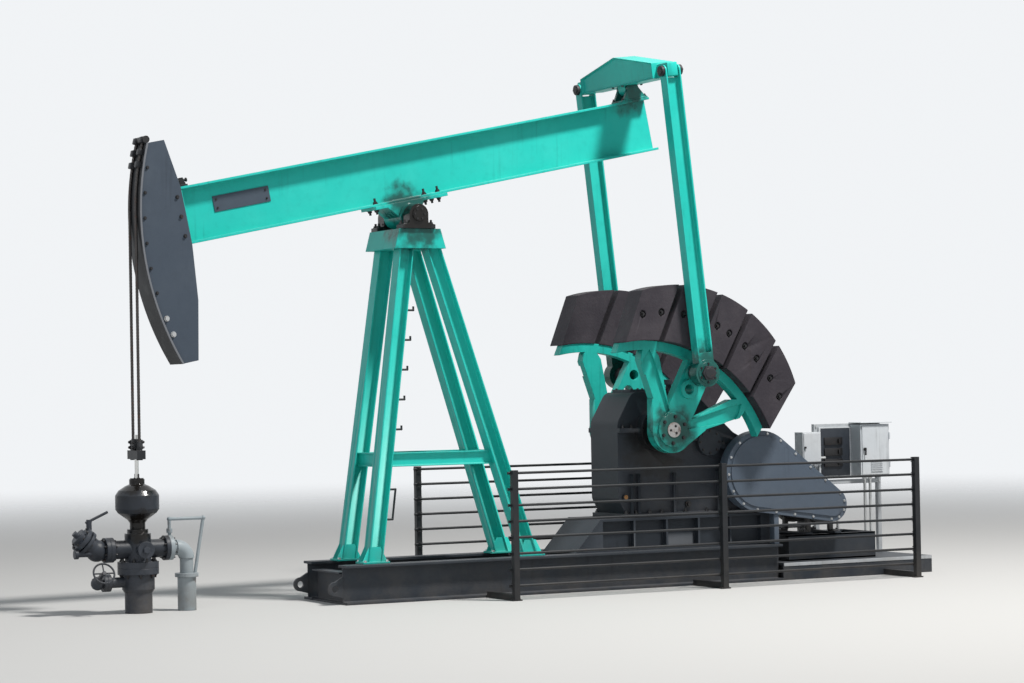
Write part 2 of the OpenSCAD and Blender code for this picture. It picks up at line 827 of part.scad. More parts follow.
// drive
module pedestal() {
  flange = 24;
  bay = 380;
  deep = 60;
  front = rear_foot_reach + 126;
  rear = deep_runner_rear;
  nose = front + 0.9 * pedestal_height;
  count = floor((rear - nose - 40) / bay);
  color(charcoal) difference() {
    bar_y(-pedestal_half, pedestal_half) polygon([[front, skid_height], [nose, pedestal_top],
      [rear, pedestal_top], [rear, skid_height]]);
    for (i = [0:count - 1], s = [-1, 1])
      translate([nose + 20 + i * bay, s * (pedestal_half - deep / 2) - deep / 2, skid_height + flange])
        translate([0, s > 0 ? 0.5 : -0.5, 0]) cube([bay - 24, deep, pedestal_height - 2 * flange]);
  }
}

// side outline of the gear housing, one value out from the casting
module housing_outline() {
  front = crankshaft_x - housing_front;
  polygon(rounded([[front + 100, pedestal_top], [front, pedestal_top + 160], [front, crankshaft_z + housing_shoulder],
    [front + 180, crankshaft_z + housing_rise], [crankshaft_x + 400, crankshaft_z + housing_rise],
    [sheave_x - 170, sheave_z + 350], [sheave_x + 165, sheave_z + 175], [sheave_x + 165, sheave_z - 190],
    [sheave_x + 60, pedestal_top]], [0, 60, 90, 110, 160, 120, 110, 110, 0]));
}

module gear_reducer() {
  body = housing_half - 40;
  front = crankshaft_x - housing_front;
  base = 34;
  color(charcoal) difference() {
    union() {
      bar_y(-body, body) housing_outline();
      translate([front + 30, -housing_half, pedestal_top]) cube([sheave_x + 130 - front - 30, 2 * housing_half, base]);
      bar_y(-housing_half, housing_half) intersection() {
        housing_outline();
        polygon([[front - 10, crankshaft_z - 20], [crankshaft_x + 100, crankshaft_z - 20],
          [sheave_x + 300, sheave_z + 40], [sheave_x + 300, sheave_z + 80],
          [crankshaft_x + 120, crankshaft_z + 20], [front - 10, crankshaft_z + 20]]);
      }
      round_y(crankshaft_x, crankshaft_z, -350, 350, 185);
      round_y(crankshaft_x + 540, crankshaft_z - 120, -housing_half - 12, housing_half + 12, 120);
      round_y(sheave_x, sheave_z, -housing_half, housing_half + 40, 120);
      round_y(sheave_x, sheave_z, -belt_outer + belt_thick - 12, -housing_half + 10, 99);
      for (s = [-1, 1], x = [front + 130, crankshaft_x - 190, crankshaft_x + 170, crankshaft_x + 620])
        translate([x, s > 0 ? body - 1 : -housing_half + 6, pedestal_top + 10])
          cube([26, housing_half - body - 5, sheave_z - pedestal_top]);
      translate([crankshaft_x - 230, -160, crankshaft_z + housing_rise - 1]) cube([420, 320, 26]);
      translate([crankshaft_x + 300, 0, crankshaft_z + housing_rise - 10]) cylinder(r = 26, h = 70);
      translate([crankshaft_x + 300, 0, crankshaft_z + housing_rise + 60]) cylinder(r = 44, h = 46);
    }
    round_y(crankshaft_x, crankshaft_z, -500, 500, shaft_r + running);
  }
}

module guard_outline(inset) {
  hull() {
    translate([sheave_x, sheave_z]) circle(r = guard_large - inset);
    translate([motor_x, motor_z]) circle(r = guard_small - inset);
  }
}

module belt_guard() {
  wall = 6;
  back = -belt_outer + belt_thick;
  color(charcoal) difference() {
    union() {
      bar_y(-belt_outer + 10, back) guard_outline(0);
      bar_y(-belt_outer, -belt_outer + 11) guard_outline(45);
    }
    bar_y(-belt_outer + 10 + wall, back - wall) guard_outline(wall);
    round_y(sheave_x, sheave_z, back - 40, back + 10, 99 + seat);
    round_y(motor_x, motor_z, back - 40, back + 10, 60 + seat);
  }
}

module motor_stand() {
  post = 80;
  plate = 16;
  rail = 60;
  half_y = 280;
  low = rear_frame_height;
  reach = 230;
  rail_z = stand_top - plate - rail - seat;
  color(charcoal) {
    for (x = [motor_x - reach, motor_x + reach], y = [-half_y, half_y])
      translate([x - post / 2, y - post / 2, low]) cube([post, post, rail_z - seat - low]);
    for (y = [-half_y, half_y]) translate([motor_x - reach - post / 2 - 10, y - post / 2, rail_z])
      cube([2 * reach + post + 20, post, rail]);
    for (x = [motor_x - motor_foot, motor_x + motor_foot]) translate([x - 35, -half_y - 50, stand_top - plate])
      cube([70, 2 * (half_y + 50), plate]);
  }
}

module motor() {
  foot = 46;
  fins = 36;
  y0 = -210;
  y1 = 190;
  shaft_end = -belt_outer + belt_thick - 12;
  color(charcoal) {
    round_y(motor_x, motor_z, y0, y1, motor_r - 16);
    for (i = [0:fins - 1]) translate([motor_x, y0 + 20, motor_z]) rotate([0, i * 360 / fins, 0])
      translate([motor_r - 22, 0, -2.5]) cube([22, y1 - y0 - 40, 5]);
    round_y(motor_x, motor_z, y0 - 40, y0, motor_r);
    round_y(motor_x, motor_z, y0 - 80, y0 - 40, motor_r - 46);
    round_y(motor_x, motor_z, shaft_end, y0 - 80, 60);
    round_y(motor_x, motor_z, y1, y1 + 26, motor_r);
    round_y(motor_x, motor_z, y1 + 26, y1 + 90, motor_r + 6);
    for (s = [-1, 1]) for (y = [y0 - 30, y1 - 60]) {
      translate([motor_x + s * motor_foot - 35, y, stand_top]) cube([70, 80, 18]);
      translate([motor_x + s * (motor_foot - 35) - 20, y + 20, stand_top + 10]) cube([40, 40, foot + 70]);
    }
    translate([motor_x + motor_r - 40, -70, motor_z - 30]) cube([110, 150, 120]);
    translate([motor_x - 18, -20, motor_z + motor_r - 26]) cube([36, 40, 46]);
  }
}

// railings
guard_posts = [guard_front, guard_front + guard_length / 2, guard_front + guard_length];

module guard() {
  low = 120;
  pitch = (guard_height - low - 24) / (guard_rails - 1);
  for (x = guard_posts) {
    translate([x - guard_post / 2, guard_y, 0]) cube([guard_post, guard_post, guard_height]);
    translate([x - guard_post / 2 - 20, guard_y, 0]) cube([guard_post + 40, guard_post, 10]);
  }
  for (i = [0:guard_rails - 1]) round_x(guard_front - 40, guard_front + guard_length + 40, guard_y,
    low + i * pitch, guard_rail_r);
}

module near_guard() {
  color(black) mirror([0, 1, 0]) guard();
}

module far_guard() {
  color(black) guard();
}

module guard_feet() {
  color(black) both_sides() for (x = guard_posts)
    translate([x - guard_post / 2, skid_half_width + seat, 0])
      cube([guard_post, guard_y - skid_half_width - 2 * seat, 50]);
}

// controls
module control_stand() {
  post = 40;
  low = control_top - control_height;
  color(pale) {
    for (x = [control_x, control_x + control_width - post])
      translate([x, control_y, rear_frame_height]) cube([post, post, control_top - rear_frame_height]);
    for (z = [low, control_top - post]) translate([control_x + post - 1, control_y, z])
      cube([control_width - 2 * post + 2, post, post]);
    translate([control_x - 30, control_y - 20, rear_frame_height])
      cube([control_width + 30, skid_half_width - control_y + 20, 12]);
  }
}

module control_cabinet() {
  low = control_top - control_height;
  case = 320;
  right = control_x + control_width - 20;
  color(pale) {
    translate([right - case, control_y - 170, low + 70]) cube([case, 170, control_height - 80]);
    translate([right - case + 14, control_y - 180, low + 84]) cube([case - 28, 11, control_height - 108]);
    translate([control_x - 200, control_y - 110, low + 190]) cube([200, 130, 300]);
    translate([control_x - 190, control_y - 118, low + 200]) cube([180, 9, 280]);
    translate([control_x + 40, control_y - 18, low + 60]) cube([right - case - control_x - 41, 18, control_height - 90]);
  }
}

// well head
module casing_head() {
  color(black) difference() {
    union() {
      translate([rod_x, 0, 0]) cylinder(r = casing_r, h = 200);
      translate([rod_x, 0, 160]) cylinder(r1 = casing_r, r2 = casing_r + 20, h = 30);
      translate([rod_x, 0, 190]) cylinder(r = casing_r + 20, h = casing_top - 190 - 45);
      translate([rod_x, 0, casing_top - 50]) cylinder(r = casing_r + 55, h = 50);
      round_x(rod_x - 250, rod_x, 0, 250, 42);
      round_x(rod_x - 270, rod_x - 240, 0, 250, 70);
    }
    translate([rod_x, 0, 10]) cylinder(r = rod_radius + 24, h = 600);
  }
}

module pumping_tee() {
  arm_z = casing_top + tee_arm_rise;
  color(black) difference() {
    union() {
      translate([rod_x, 0, casing_top]) cylinder(r = casing_r + 55, h = 50);
      translate([rod_x, 0, casing_top + 45]) cylinder(r = 105, h = tee_top - casing_top - 80);
      translate([rod_x, 0, tee_top - 40]) cylinder(r = 85, h = 40);
      round_x(rod_x - tee_arm, rod_x + tee_arm, 0, arm_z, 74);
      round_x(rod_x - tee_arm, rod_x - tee_arm + 35, 0, arm_z, 100);
      round_x(rod_x + tee_arm - 35, rod_x + tee_arm, 0, arm_z, 100);
      round_y(rod_x, arm_z, -190, 0, 50);
      round_y(rod_x, arm_z, -205, -185, 68);
    }
    translate([rod_x, 0, casing_top - 10]) cylinder(r = rod_radius + 24, h = 600);
  }
}

module stuffing_box() {
  color(black) difference() {
    translate([rod_x, 0, tee_top]) rotate_extrude() polygon([[0, 0], [62, 0], [62, 50], [80, 76],
      [pot_r - 20, 130], [pot_r, 160], [pot_r, 75 + pot_height - 90], [pot_r - 25, 75 + pot_height - 50],
      [pot_r - 80, 75 + pot_height - 14], [62, 75 + pot_height], [62, 75 + pot_height + 40],
      [0, 75 + pot_height + 40]]);
    translate([rod_x, 0, tee_top - 20]) cylinder(r = rod_radius + running, h = 700);
  }
}

// the inclined check valve on the left arm, with its lever and the small valve beside it
module wing_valve() {
  arm_z = casing_top + tee_arm_rise;
  x = rod_x - tee_arm - 95;
  tilt = 52;
  color(black) {
    round_x(rod_x - tee_arm - 35, rod_x - tee_arm, 0, arm_z, 100);
    translate([x, 0, arm_z]) sphere(r = 88);
    translate([x, 0, arm_z]) rotate([0, -tilt, 0]) {
      cylinder(r = 78, h = 160);
      translate([0, 0, 90]) cylinder(r = 104, h = 28);
      translate([0, 0, 130]) cylinder(r = 104, h = 34);
      translate([0, 0, 160]) cylinder(r = 66, h = 40);
      translate([0, 0, 190]) cylinder(r = 24, h = 46);
    }
    translate([x - 60, 0, arm_z + 60]) cylinder(r = 22, h = 190);
    translate([x - 60, 0, arm_z + 236]) rotate([0, 66, 0]) translate([0, 0, -30]) cylinder(r = 11, h = 200);
    round_x(x - 170, x, -40, arm_z - 20, 24);
    round_x(x - 196, x - 168, -40, arm_z - 20, 38);
  }
}

// the elbow, the riser and the small pipe that bridges them
module flowline_riser() {
  arm_z = casing_top + tee_arm_rise;
  bend = 90;
  x0 = rod_x + tee_arm + 18;
  x1 = x0 + 290;
  top = arm_z + 230;
  foot = 200;
  color([0.45, 0.5, 0.53]) {
    round_x(rod_x + tee_arm, rod_x + tee_arm + 35, 0, arm_z, 100);
    round_x(rod_x + tee_arm + 30, rod_x + riser_reach - bend + 12, 0, arm_z, 54);
    translate([rod_x + riser_reach - bend, 0, arm_z - bend]) rotate([90, 0, 0])
      rotate_extrude(angle = 90) translate([bend, 0]) circle(r = 62);
    translate([rod_x + riser_reach, 0, arm_z - bend - 130]) cylinder(r = 54, h = 140);
    translate([rod_x + riser_reach, 0, arm_z - bend - 150]) cylinder(r = riser_r + 20, h = 30);
    translate([rod_x + riser_reach, 0, 0]) cylinder(r = riser_r, h = arm_z - bend - 140);
    translate([x0, 0, arm_z + 85]) cylinder(r = 14, h = top - arm_z - 85);
    translate([x0, 0, arm_z + 120]) cylinder(r = 24, h = 34);
    translate([x0, 0, top]) sphere(r = 19);
    round_x(x0, x1, 0, top, 14);
    translate([x1, 0, top]) sphere(r = 19);
    strut(rod_x + riser_reach + riser_r - 20, foot, x1, top, 0) circle(r = 14);
  }
}

skid_runners();
cross_beams();
rear_frame();
pull_lugs();
front_legs();
rear_legs();
leg_ties();
post_cap();
leg_steps();
centre_bearing();
saddle();
walking_beam();
beam_plate();
horsehead();
head_latch();
bridle_wrap();
bridle_lines();
carrier_bar();
rod_clamp();
polished_rod();
tail_stand();
equalizer();
near_pitman();
far_pitman();
pitman_pins();
crankshaft();
near_crank();
far_crank();
near_weights();
far_weights();
pedestal();
gear_reducer();
belt_guard();
motor_stand();
motor();
near_guard();
far_guard();
guard_feet();
control_stand();
control_cabinet();
casing_head();
pumping_tee();
stuffing_box();
wing_valve();
flowline_riser();
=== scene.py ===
# %% [markdown]
# # A beam pumping unit in an oil field
#
# This lesson dresses a finished CAD model of a beam pumping unit. The unit is about eight metres long. A
# rocking beam with a curved head lifts a polished rod, and two weighted cranks on a gear reducer drive it.
# The CAD nodes already hold the steelwork at its true size. What is left for Blender is the finish of every
# surface, the wire ropes, the bolts, the flanges' studs and the small fittings that show at arm's length.
#
# The model is loaded first, because every piece added later rides on one of its bodies.

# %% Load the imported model
import math

import bmesh
import bpy
from mathutils import Matrix, Vector


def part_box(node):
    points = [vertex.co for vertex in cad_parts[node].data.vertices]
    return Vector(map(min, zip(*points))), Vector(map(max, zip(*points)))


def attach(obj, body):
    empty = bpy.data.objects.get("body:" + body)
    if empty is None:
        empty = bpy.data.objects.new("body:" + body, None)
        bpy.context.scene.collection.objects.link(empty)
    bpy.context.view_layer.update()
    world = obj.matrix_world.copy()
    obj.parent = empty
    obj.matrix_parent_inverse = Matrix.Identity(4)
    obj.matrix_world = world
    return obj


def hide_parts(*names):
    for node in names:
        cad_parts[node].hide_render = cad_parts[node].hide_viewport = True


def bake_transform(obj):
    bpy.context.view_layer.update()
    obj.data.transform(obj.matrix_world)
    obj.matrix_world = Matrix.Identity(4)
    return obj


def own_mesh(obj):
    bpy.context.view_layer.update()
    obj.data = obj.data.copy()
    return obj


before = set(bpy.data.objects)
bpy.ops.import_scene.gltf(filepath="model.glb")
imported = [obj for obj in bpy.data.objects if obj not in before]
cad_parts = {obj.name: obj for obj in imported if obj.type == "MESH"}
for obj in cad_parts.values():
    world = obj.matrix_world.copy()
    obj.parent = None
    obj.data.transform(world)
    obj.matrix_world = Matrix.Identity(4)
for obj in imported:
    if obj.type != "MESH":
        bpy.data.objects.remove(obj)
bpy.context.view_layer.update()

# %% [markdown]
# ## Four sets of axes
#
# The beam, the cranks and the pitmans stand at an angle. A bolt on the beam is easiest to place along the
# beam, so each tilted assembly gets a matrix that carries its own axes into the shared frame. The sizes are
# those of the CAD source, in metres.

# %% Axes of the tilted assemblies
PIVOT = Vector((0, 0, 3.21))
BEAM_TILT = math.radians(11.28)
SHAFT = Vector((2.27, 0, 1.36))
CRANK_ANGLE = math.radians(66)
THROW = 0.53
TAIL_REACH, TAIL_RISE = 2.39, 0.7
ROD_X = -2.391


def tilted(place, angle):
    return Matrix.Translation(place) @ Matrix.Rotation(-angle, 4, "Y")


on_ground = Matrix.Identity(4)
on_beam = tilted(PIVOT, BEAM_TILT)
on_crank = tilted(SHAFT, CRANK_ANGLE)
TAIL = on_beam @ Vector((TAIL_REACH, 0, TAIL_RISE))
WRIST = on_crank @ Vector((THROW, 0, 0))
on_pitman = tilted(TAIL, math.asin((WRIST.x - TAIL.x) / (WRIST - TAIL).length))
print("the tail bearing is at", [round(v, 3) for v in TAIL])
print("the wrist pin is at", [round(v, 3) for v in WRIST])

# %% [markdown]
# ## The camera
#
# The photograph was taken from standing height, to the left of the well, with the unit small in the frame.
# The camera here stands at that same spot, so every angle agrees, and a longer lens fills the picture.

# %% Camera
camera_data = bpy.data.cameras.new("camera")
camera_data.lens = 94.0
camera_data.sensor_width = 36.0
camera_data.clip_end = 300.0
camera = bpy.data.objects.new("camera", camera_data)
bpy.context.scene.collection.objects.link(camera)
bpy.context.scene.camera = camera
camera.location = (-9.538, -20.446, 1.7325)
heading, pitch, roll = math.radians(27.3), math.radians(1.03), math.radians(1.04)
level = math.cos(pitch)
looking = Vector((math.sin(heading) * level, math.cos(heading) * level, math.sin(pitch)))
camera.rotation_mode = "QUATERNION"
camera.rotation_quaternion = looking.to_track_quat("-Z", "Y") @ Matrix.Rotation(-roll, 4, "Z").to_quaternion()
print("the camera stands", round((camera.location - SHAFT).length, 1), "m from the crankshaft")

# %% [markdown]
# ## Small helpers for shader nodes
#
# A finish is a small network of nodes. Helpers keep the listings short. One adds a node and connects or
# sets its inputs, others do sums, blend two colours by a mask or make a noise, and the last ones make a
# group, place it in a material and start a new material. A socket knows the tree that it is in, so most of
# them need only the sockets that go in.

# %% Node helpers
def connect(node, inputs):
    for key, value in inputs.items():
        if isinstance(value, bpy.types.NodeSocket):
            node.id_data.links.new(value, node.inputs[key])
        else:
            node.inputs[key].default_value = value


def add(tree, kind, inputs=None, out=0, **settings):
    made = tree.nodes.new("ShaderNode" + kind)
    for key, value in settings.items():
        setattr(made, key, value)
    connect(made, inputs or {})
    return made.outputs[out]


def maths(operation, a, b=0.0, clamp=False):
    tree = (a if isinstance(a, bpy.types.NodeSocket) else b).id_data
    return add(tree, "Math", {0: a, 1: b}, operation=operation, use_clamp=clamp)


def times(a, b):
    return maths("MULTIPLY", a, b)


def opaque(colour):
    return (*colour, 1) if isinstance(colour, tuple) else colour


def shade(colour, share):
    return tuple(share * c for c in colour)


def blend(mask, below, above):
    return add(mask.id_data, "Mix", {0: mask, 6: opaque(below), 7: opaque(above)}, out=2, data_type="RGBA")


def spread(value, low, high, to_low=0.0, to_high=1.0):
    return add(value.id_data, "MapRange", {0: value, 1: low, 2: high, 3: to_low, 4: to_high},
               interpolation_type="SMOOTHSTEP")


def noise(vector, scale, detail, roughness=0.5, distortion=0.0):
    return add(vector.id_data, "TexNoise", {"Vector": vector, "Scale": scale, "Detail": detail,
                                            "Roughness": roughness, "Distortion": distortion})


def vectors(operation, vector, other=(0, 0, 0), out=0):
    return add(vector.id_data, "VectorMath", {0: vector, 1: other}, out=out, operation=operation)


def separate(vector, axis):
    return add(vector.id_data, "SeparateXYZ", {0: vector}, out="XYZ".index(axis))


def new_group(name, inputs, outputs):
    group = bpy.data.node_groups.new(name, "ShaderNodeTree")
    for label, value in inputs.items():
        kind = "NodeSocketVector" if value is None else "NodeSocketFloat"
        socket = group.interface.new_socket(name=label, in_out="INPUT", socket_type=kind)
        if value is not None:
            socket.default_value = value
    for label, kind in outputs.items():
        group.interface.new_socket(name=label, in_out="OUTPUT", socket_type="NodeSocket" + kind)
    return group, group.nodes.new("NodeGroupInput").outputs, group.nodes.new("NodeGroupOutput")


def use(group, place, **inputs):
    made = place.id_data.nodes.new("ShaderNodeGroup")
    made.node_tree = group
    connect(made, {"Vector": place, **inputs})
    return made.outputs[0] if len(made.outputs) == 1 else list(made.outputs)


def new_material(name):
    material = bpy.data.materials.new(name)
    material.use_nodes = True
    tree = material.node_tree
    return material, tree, tree.nodes["Principled BSDF"], add(tree, "TexCoord", out=3)


print("node helpers ready")

# %% [markdown]
# ## Weathering as reusable groups
#
# Paint outdoors ages in a few well-known ways. It fades in patches, water leaves runs down its sides, edges
# chip, dust settles low down and on ledges, and grease spreads round bearings. Each effect is one node
# group with named inputs, so that every paint can carry the same effect in its own strength.

# %% Patches: broad soft areas of a second tone
patches, come, go = new_group("patches", {"Vector": None, "Scale": 2.0, "Low": 0.4, "High": 0.7},
                              {"Mask": "Float"})
cloud = noise(come["Vector"], come["Scale"], 5.0, 0.62)
connect(go, {"Mask": spread(cloud, come["Low"], come["High"])})

# %% Runs: thin vertical marks that water leaves on upright faces
runs, come, go = new_group("runs", {"Vector": None, "Amount": 0.5}, {"Mask": "Float"})
streak = noise(vectors("MULTIPLY", come["Vector"], (26.0, 26.0, 1.3)), 1.0, 3.0, 0.55)
where = noise(come["Vector"], 1.7, 2.0)
facing = separate(add(runs, "NewGeometry", out=3), "Z")
upright = maths("SUBTRACT", 1.0, maths("ABSOLUTE", facing))
mark = times(times(spread(streak, 0.52, 0.78), spread(where, 0.42, 0.68)), upright)
connect(go, {"Mask": maths("MULTIPLY", mark, come["Amount"], True)})

# %% Worn edges: where a sharp edge has lost its paint
worn_edges, come, go = new_group("worn edges", {"Vector": None, "Radius": 0.01, "Amount": 0.5},
                                 {"Mask": "Float", "Normal": "Vector"})
rounded = add(worn_edges, "Bevel", {"Radius": come["Radius"]}, samples=4)
flat = add(worn_edges, "NewGeometry", out=1)
turned = maths("SUBTRACT", 1.0, vectors("DOT_PRODUCT", rounded, flat, out=1))
knocks = noise(come["Vector"], 9.0, 6.0, 0.7)
edge = times(spread(turned, 0.03, 0.2), spread(knocks, 0.5, 0.66))
connect(go, {"Mask": maths("MULTIPLY", edge, come["Amount"], True), "Normal": rounded})

# %% Dust: thick near the ground and on faces that look up
dust, come, go = new_group("dust", {"Vector": None, "Reach": 0.6, "Amount": 0.5}, {"Mask": "Float"})
height = separate(come["Vector"], "Z")
low = maths("SUBTRACT", 1.0, maths("DIVIDE", height, come["Reach"], True), True)
facing = separate(add(dust, "NewGeometry", out=3), "Z")
ledge = times(spread(facing, 0.55, 0.95), 0.55)
cloud = spread(noise(come["Vector"], 5.0, 6.0, 0.65), 0.3, 0.72)
film = times(maths("MAXIMUM", low, ledge), cloud)
connect(go, {"Mask": maths("MULTIPLY", film, come["Amount"], True)})

# %% Grease: a dark wet area round a bearing
grease, come, go = new_group("grease", {"Vector": None, "Centre": None, "Reach": 0.3}, {"Mask": "Float"})
away = vectors("DISTANCE", come["Vector"], come["Centre"], out=1)
ragged = times(noise(come["Vector"], 11.0, 4.0), 0.9)
near = maths("SUBTRACT", maths("DIVIDE", away, come["Reach"]), ragged)
connect(go, {"Mask": spread(near, 0.45, -0.05)})

# %% Rust: brown bloom with a darker core, as a colour and a mask
rust, come, go = new_group("rust", {"Vector": None, "Scale": 6.0, "Amount": 0.4},
                           {"Colour": "Color", "Mask": "Float"})
cloud = noise(come["Vector"], come["Scale"], 8.0, 0.7, 0.4)
tint = blend(spread(cloud, 0.5, 0.75), (0.16, 0.055, 0.022), (0.055, 0.02, 0.012))
limit = maths("SUBTRACT", 0.74, times(come["Amount"], 0.5))
grown = maths("MULTIPLY", maths("SUBTRACT", cloud, limit), 7.0, True)
connect(go, {"Colour": tint, "Mask": grown})

# %% Skins: the fine relief of sprayed paint and of sand castings
paint_skin, come, go = new_group("paint skin", {"Vector": None, "Scale": 90.0}, {"Height": "Float"})
fine = times(noise(come["Vector"], come["Scale"], 2.0), 0.35)
wide = noise(come["Vector"], 7.0, 2.0)
connect(go, {"Height": maths("ADD", fine, wide)})

cast_skin, come, go = new_group("cast skin", {"Vector": None, "Scale": 60.0}, {"Height": "Float"})
sand = times(noise(come["Vector"], come["Scale"], 6.0, 0.75), 0.7)
pits = times(add(cast_skin, "TexVoronoi", {"Vector": come["Vector"], "Scale": 38.0}), 0.35)
dents = noise(come["Vector"], 6.0, 3.0)
connect(go, {"Height": maths("ADD", maths("ADD", sand, pits), dents)})
print("built", len(bpy.data.node_groups), "weathering groups")

# %% [markdown]
# ## Paint
#
# Structural steel is sprayed with one enamel coat over primer. The recipe starts from the paint's own
# colour, lets it fade in patches, then lays runs, dust, chips and grease over it in the order in which they
# happen. The shader itself stays in each material, with its plain values set straight on its sockets.

# %% A recipe for weathered paint
BARE, ROAD_DUST, WET_GREASE = (0.05, 0.045, 0.045), (0.20, 0.17, 0.14), (0.012, 0.011, 0.01)


def painted(name, colour, faded, rough=0.42, streaks=0.35, chips=0.5, edge_radius=0.007, dusty=0.4,
            dust_reach=0.7, rusty=0.0, greasy=(), shade_and_grease_layer=None):
    material, tree, shader, place = new_material(name)
    fading = use(patches, place, Scale=1.4, Low=0.42, High=0.66)
    tone = blend(times(fading, 0.5), colour, faded)
    mottled = use(patches, place, Scale=13.0, Low=0.45, High=0.75)
    tone = blend(times(mottled, 0.16), tone, shade(colour, 0.55))
    marks = use(runs, place, Amount=streaks)
    tone = blend(marks, tone, shade(colour, 0.3))
    gloss = spread(marks, 0.0, 1.0, rough, rough + 0.25)
    if rusty:
        brown, bloom = use(rust, place, Scale=4.0, Amount=rusty)
        tone = blend(bloom, tone, brown)
        gloss = maths("ADD", gloss, times(bloom, 0.35), True)
    # Optional layer over the weathered paint; on the horsehead it lays painted shade and rope grease on the
    # rope face.
    if shade_and_grease_layer:
        tone = shade_and_grease_layer(place, tone)
    worn, rounded = use(worn_edges, place, Radius=edge_radius, Amount=chips)
    tone = blend(worn, tone, BARE)
    settled = use(dust, place, Reach=dust_reach, Amount=dusty)
    tone = blend(settled, tone, ROAD_DUST)
    gloss = maths("ADD", gloss, times(settled, 0.4), True)
    for centre, reach in greasy:
        wet = use(grease, place, Centre=centre, Reach=reach)
        tone = blend(times(wet, 0.82), tone, WET_GREASE)
        gloss = maths("SUBTRACT", gloss, times(wet, 0.2), True)
    relief = maths("SUBTRACT", use(paint_skin, place, Scale=90.0), worn)
    normal = add(tree, "Bump", {"Height": relief, "Distance": 0.0012, "Strength": 0.6, "Normal": rounded})
    shader.inputs["Specular IOR Level"].default_value = 0.3
    connect(shader, {"Base Color": tone, "Roughness": gloss, "Normal": normal})
    return material


near_wrist, far_wrist = [(WRIST.x, y, WRIST.z) for y in (-0.755, 0.755)]
near_hub, far_hub = [(SHAFT.x, y, SHAFT.z) for y in (-0.56, 0.56)]
TEAL, TEAL_PALE = (0.016, 0.52, 0.455), (0.04, 0.58, 0.51)
post_paint = painted("teal_post", TEAL, TEAL_PALE, dust_reach=0.9, dusty=0.3,
                     greasy=[((0, -0.2, 3.1), 0.34)])
beam_paint = painted("teal_beam", TEAL, TEAL_PALE, dusty=0.15, streaks=0.45,
                     greasy=[((0, -0.1, 3.3), 0.3), (TAIL, 0.3)])
pitman_paint = painted("teal_pitman", TEAL, TEAL_PALE, dusty=0.1, streaks=0.5,
                       greasy=[(near_wrist, 0.34), (far_wrist, 0.34)])
crank_paint = painted("teal_crank", (0.014, 0.42, 0.36), TEAL_PALE, dusty=0.25, chips=0.8, streaks=0.6,
                      greasy=[(place, 0.3) for place in (near_hub, far_hub, near_wrist, far_wrist)])
print("teal paint in four states of wear")

# %% [markdown]
# The rest of the unit is painted in dark greys: a blue grey on the horsehead and the belt guard, near black
# on the skid, the reducer and the railings, and pale grey on the control boxes.

# %% Dark and pale paints
HEAD_EDGE, CHEEK_EDGE = 2.378, 0.1435


# The horsehead's rope face is painted near black: painted shade of the face that turns away from the key
# lamp, together with rope grease. Lighter patches show where the ropes rubbed the paint.
def shaded_greasy_rope_face(place, tone):
    across = vectors("MULTIPLY", vectors("SUBTRACT", place, PIVOT), (1, 0, 1))
    reach = vectors("LENGTH", across, out=1)
    # Painted shade and grease: the outer face, past HEAD_EDGE from the pivot, goes near black.
    outer = spread(reach, HEAD_EDGE - 0.003, HEAD_EDGE)
    tone = blend(outer, tone, (0.016, 0.018, 0.021))
    rubbed = times(outer, use(patches, place, Scale=9.0, Low=0.5, High=0.7))
    tone = blend(times(rubbed, 0.35), tone, (0.09, 0.095, 0.1))
    # A pale line along the rim where the rope face meets the cheek plates is a painted highlight.
    sideways = maths("ABSOLUTE", separate(place, "Y"))
    painted_highlight_lip = times(spread(sideways, CHEEK_EDGE, CHEEK_EDGE + 0.002),
                spread(reach, HEAD_EDGE - 0.018, HEAD_EDGE - 0.014))
    return blend(painted_highlight_lip, tone, (0.17, 0.18, 0.2))


# The horsehead carries painted shade and rope grease on its rope face.
head_paint = painted("slate_head", (0.052, 0.070, 0.096), (0.075, 0.095, 0.122), rough=0.5, dusty=0.1,
                     chips=0.6, shade_and_grease_layer=shaded_greasy_rope_face)
skid_paint = painted("charcoal_skid", (0.026, 0.033, 0.043), (0.04, 0.048, 0.06), rough=0.55, dusty=0.22,
                     dust_reach=0.4, rusty=0.1)
reducer_paint = painted("charcoal_reducer", (0.026, 0.032, 0.042), (0.042, 0.05, 0.062), rough=0.5,
                        dusty=0.3, dust_reach=1.0, rusty=0.1,
                        greasy=[((SHAFT.x, -0.35, 1.2), 0.45), ((SHAFT.x, 0.35, 1.2), 0.45),
                                ((3.25, 0.3, 0.9), 0.3)])
belt_paint = painted("slate_belt_guard", (0.082, 0.108, 0.145), (0.11, 0.135, 0.17), rough=0.45,
                     dusty=0.18, dust_reach=1.0, streaks=0.6, chips=0.8)
motor_paint = painted("grey_motor", (0.05, 0.056, 0.064), (0.08, 0.085, 0.09), rough=0.5, dusty=0.6,
                      dust_reach=0.9, rusty=0.3)
rail_paint = painted("black_rail", (0.014, 0.016, 0.019), (0.03, 0.032, 0.036), rough=0.45, dusty=0.2,
                     dust_reach=0.4, chips=0.9, rusty=0.18, edge_radius=0.004)
cabinet_paint = painted("pale_cabinet", (0.60, 0.64, 0.68), (0.70, 0.72, 0.74), rough=0.4, dusty=0.3,
                        dust_reach=1.4, chips=0.25, streaks=0.5)
frame_paint = painted("pale_frame", (0.44, 0.47, 0.5), (0.55, 0.57, 0.58), dusty=0.35, dust_reach=1.0,
                      chips=0.4, rusty=0.25)
riser_paint = painted("blue_grey_riser", (0.26, 0.31, 0.34), (0.38, 0.42, 0.44), rough=0.45, dusty=0.6,
                      dust_reach=0.5, streaks=0.8, rusty=0.3)
print("nine more paints")

# %% [markdown]
# ## Castings, bare steel and rope
#
# The counterweights are rough sand castings with a thin black coat. The polished rod is ground and bright,
# and shafts, ropes and bolts are plain steel that has begun to tarnish. A metal takes its look from
# reflections, so its roughness changes more than its colour.

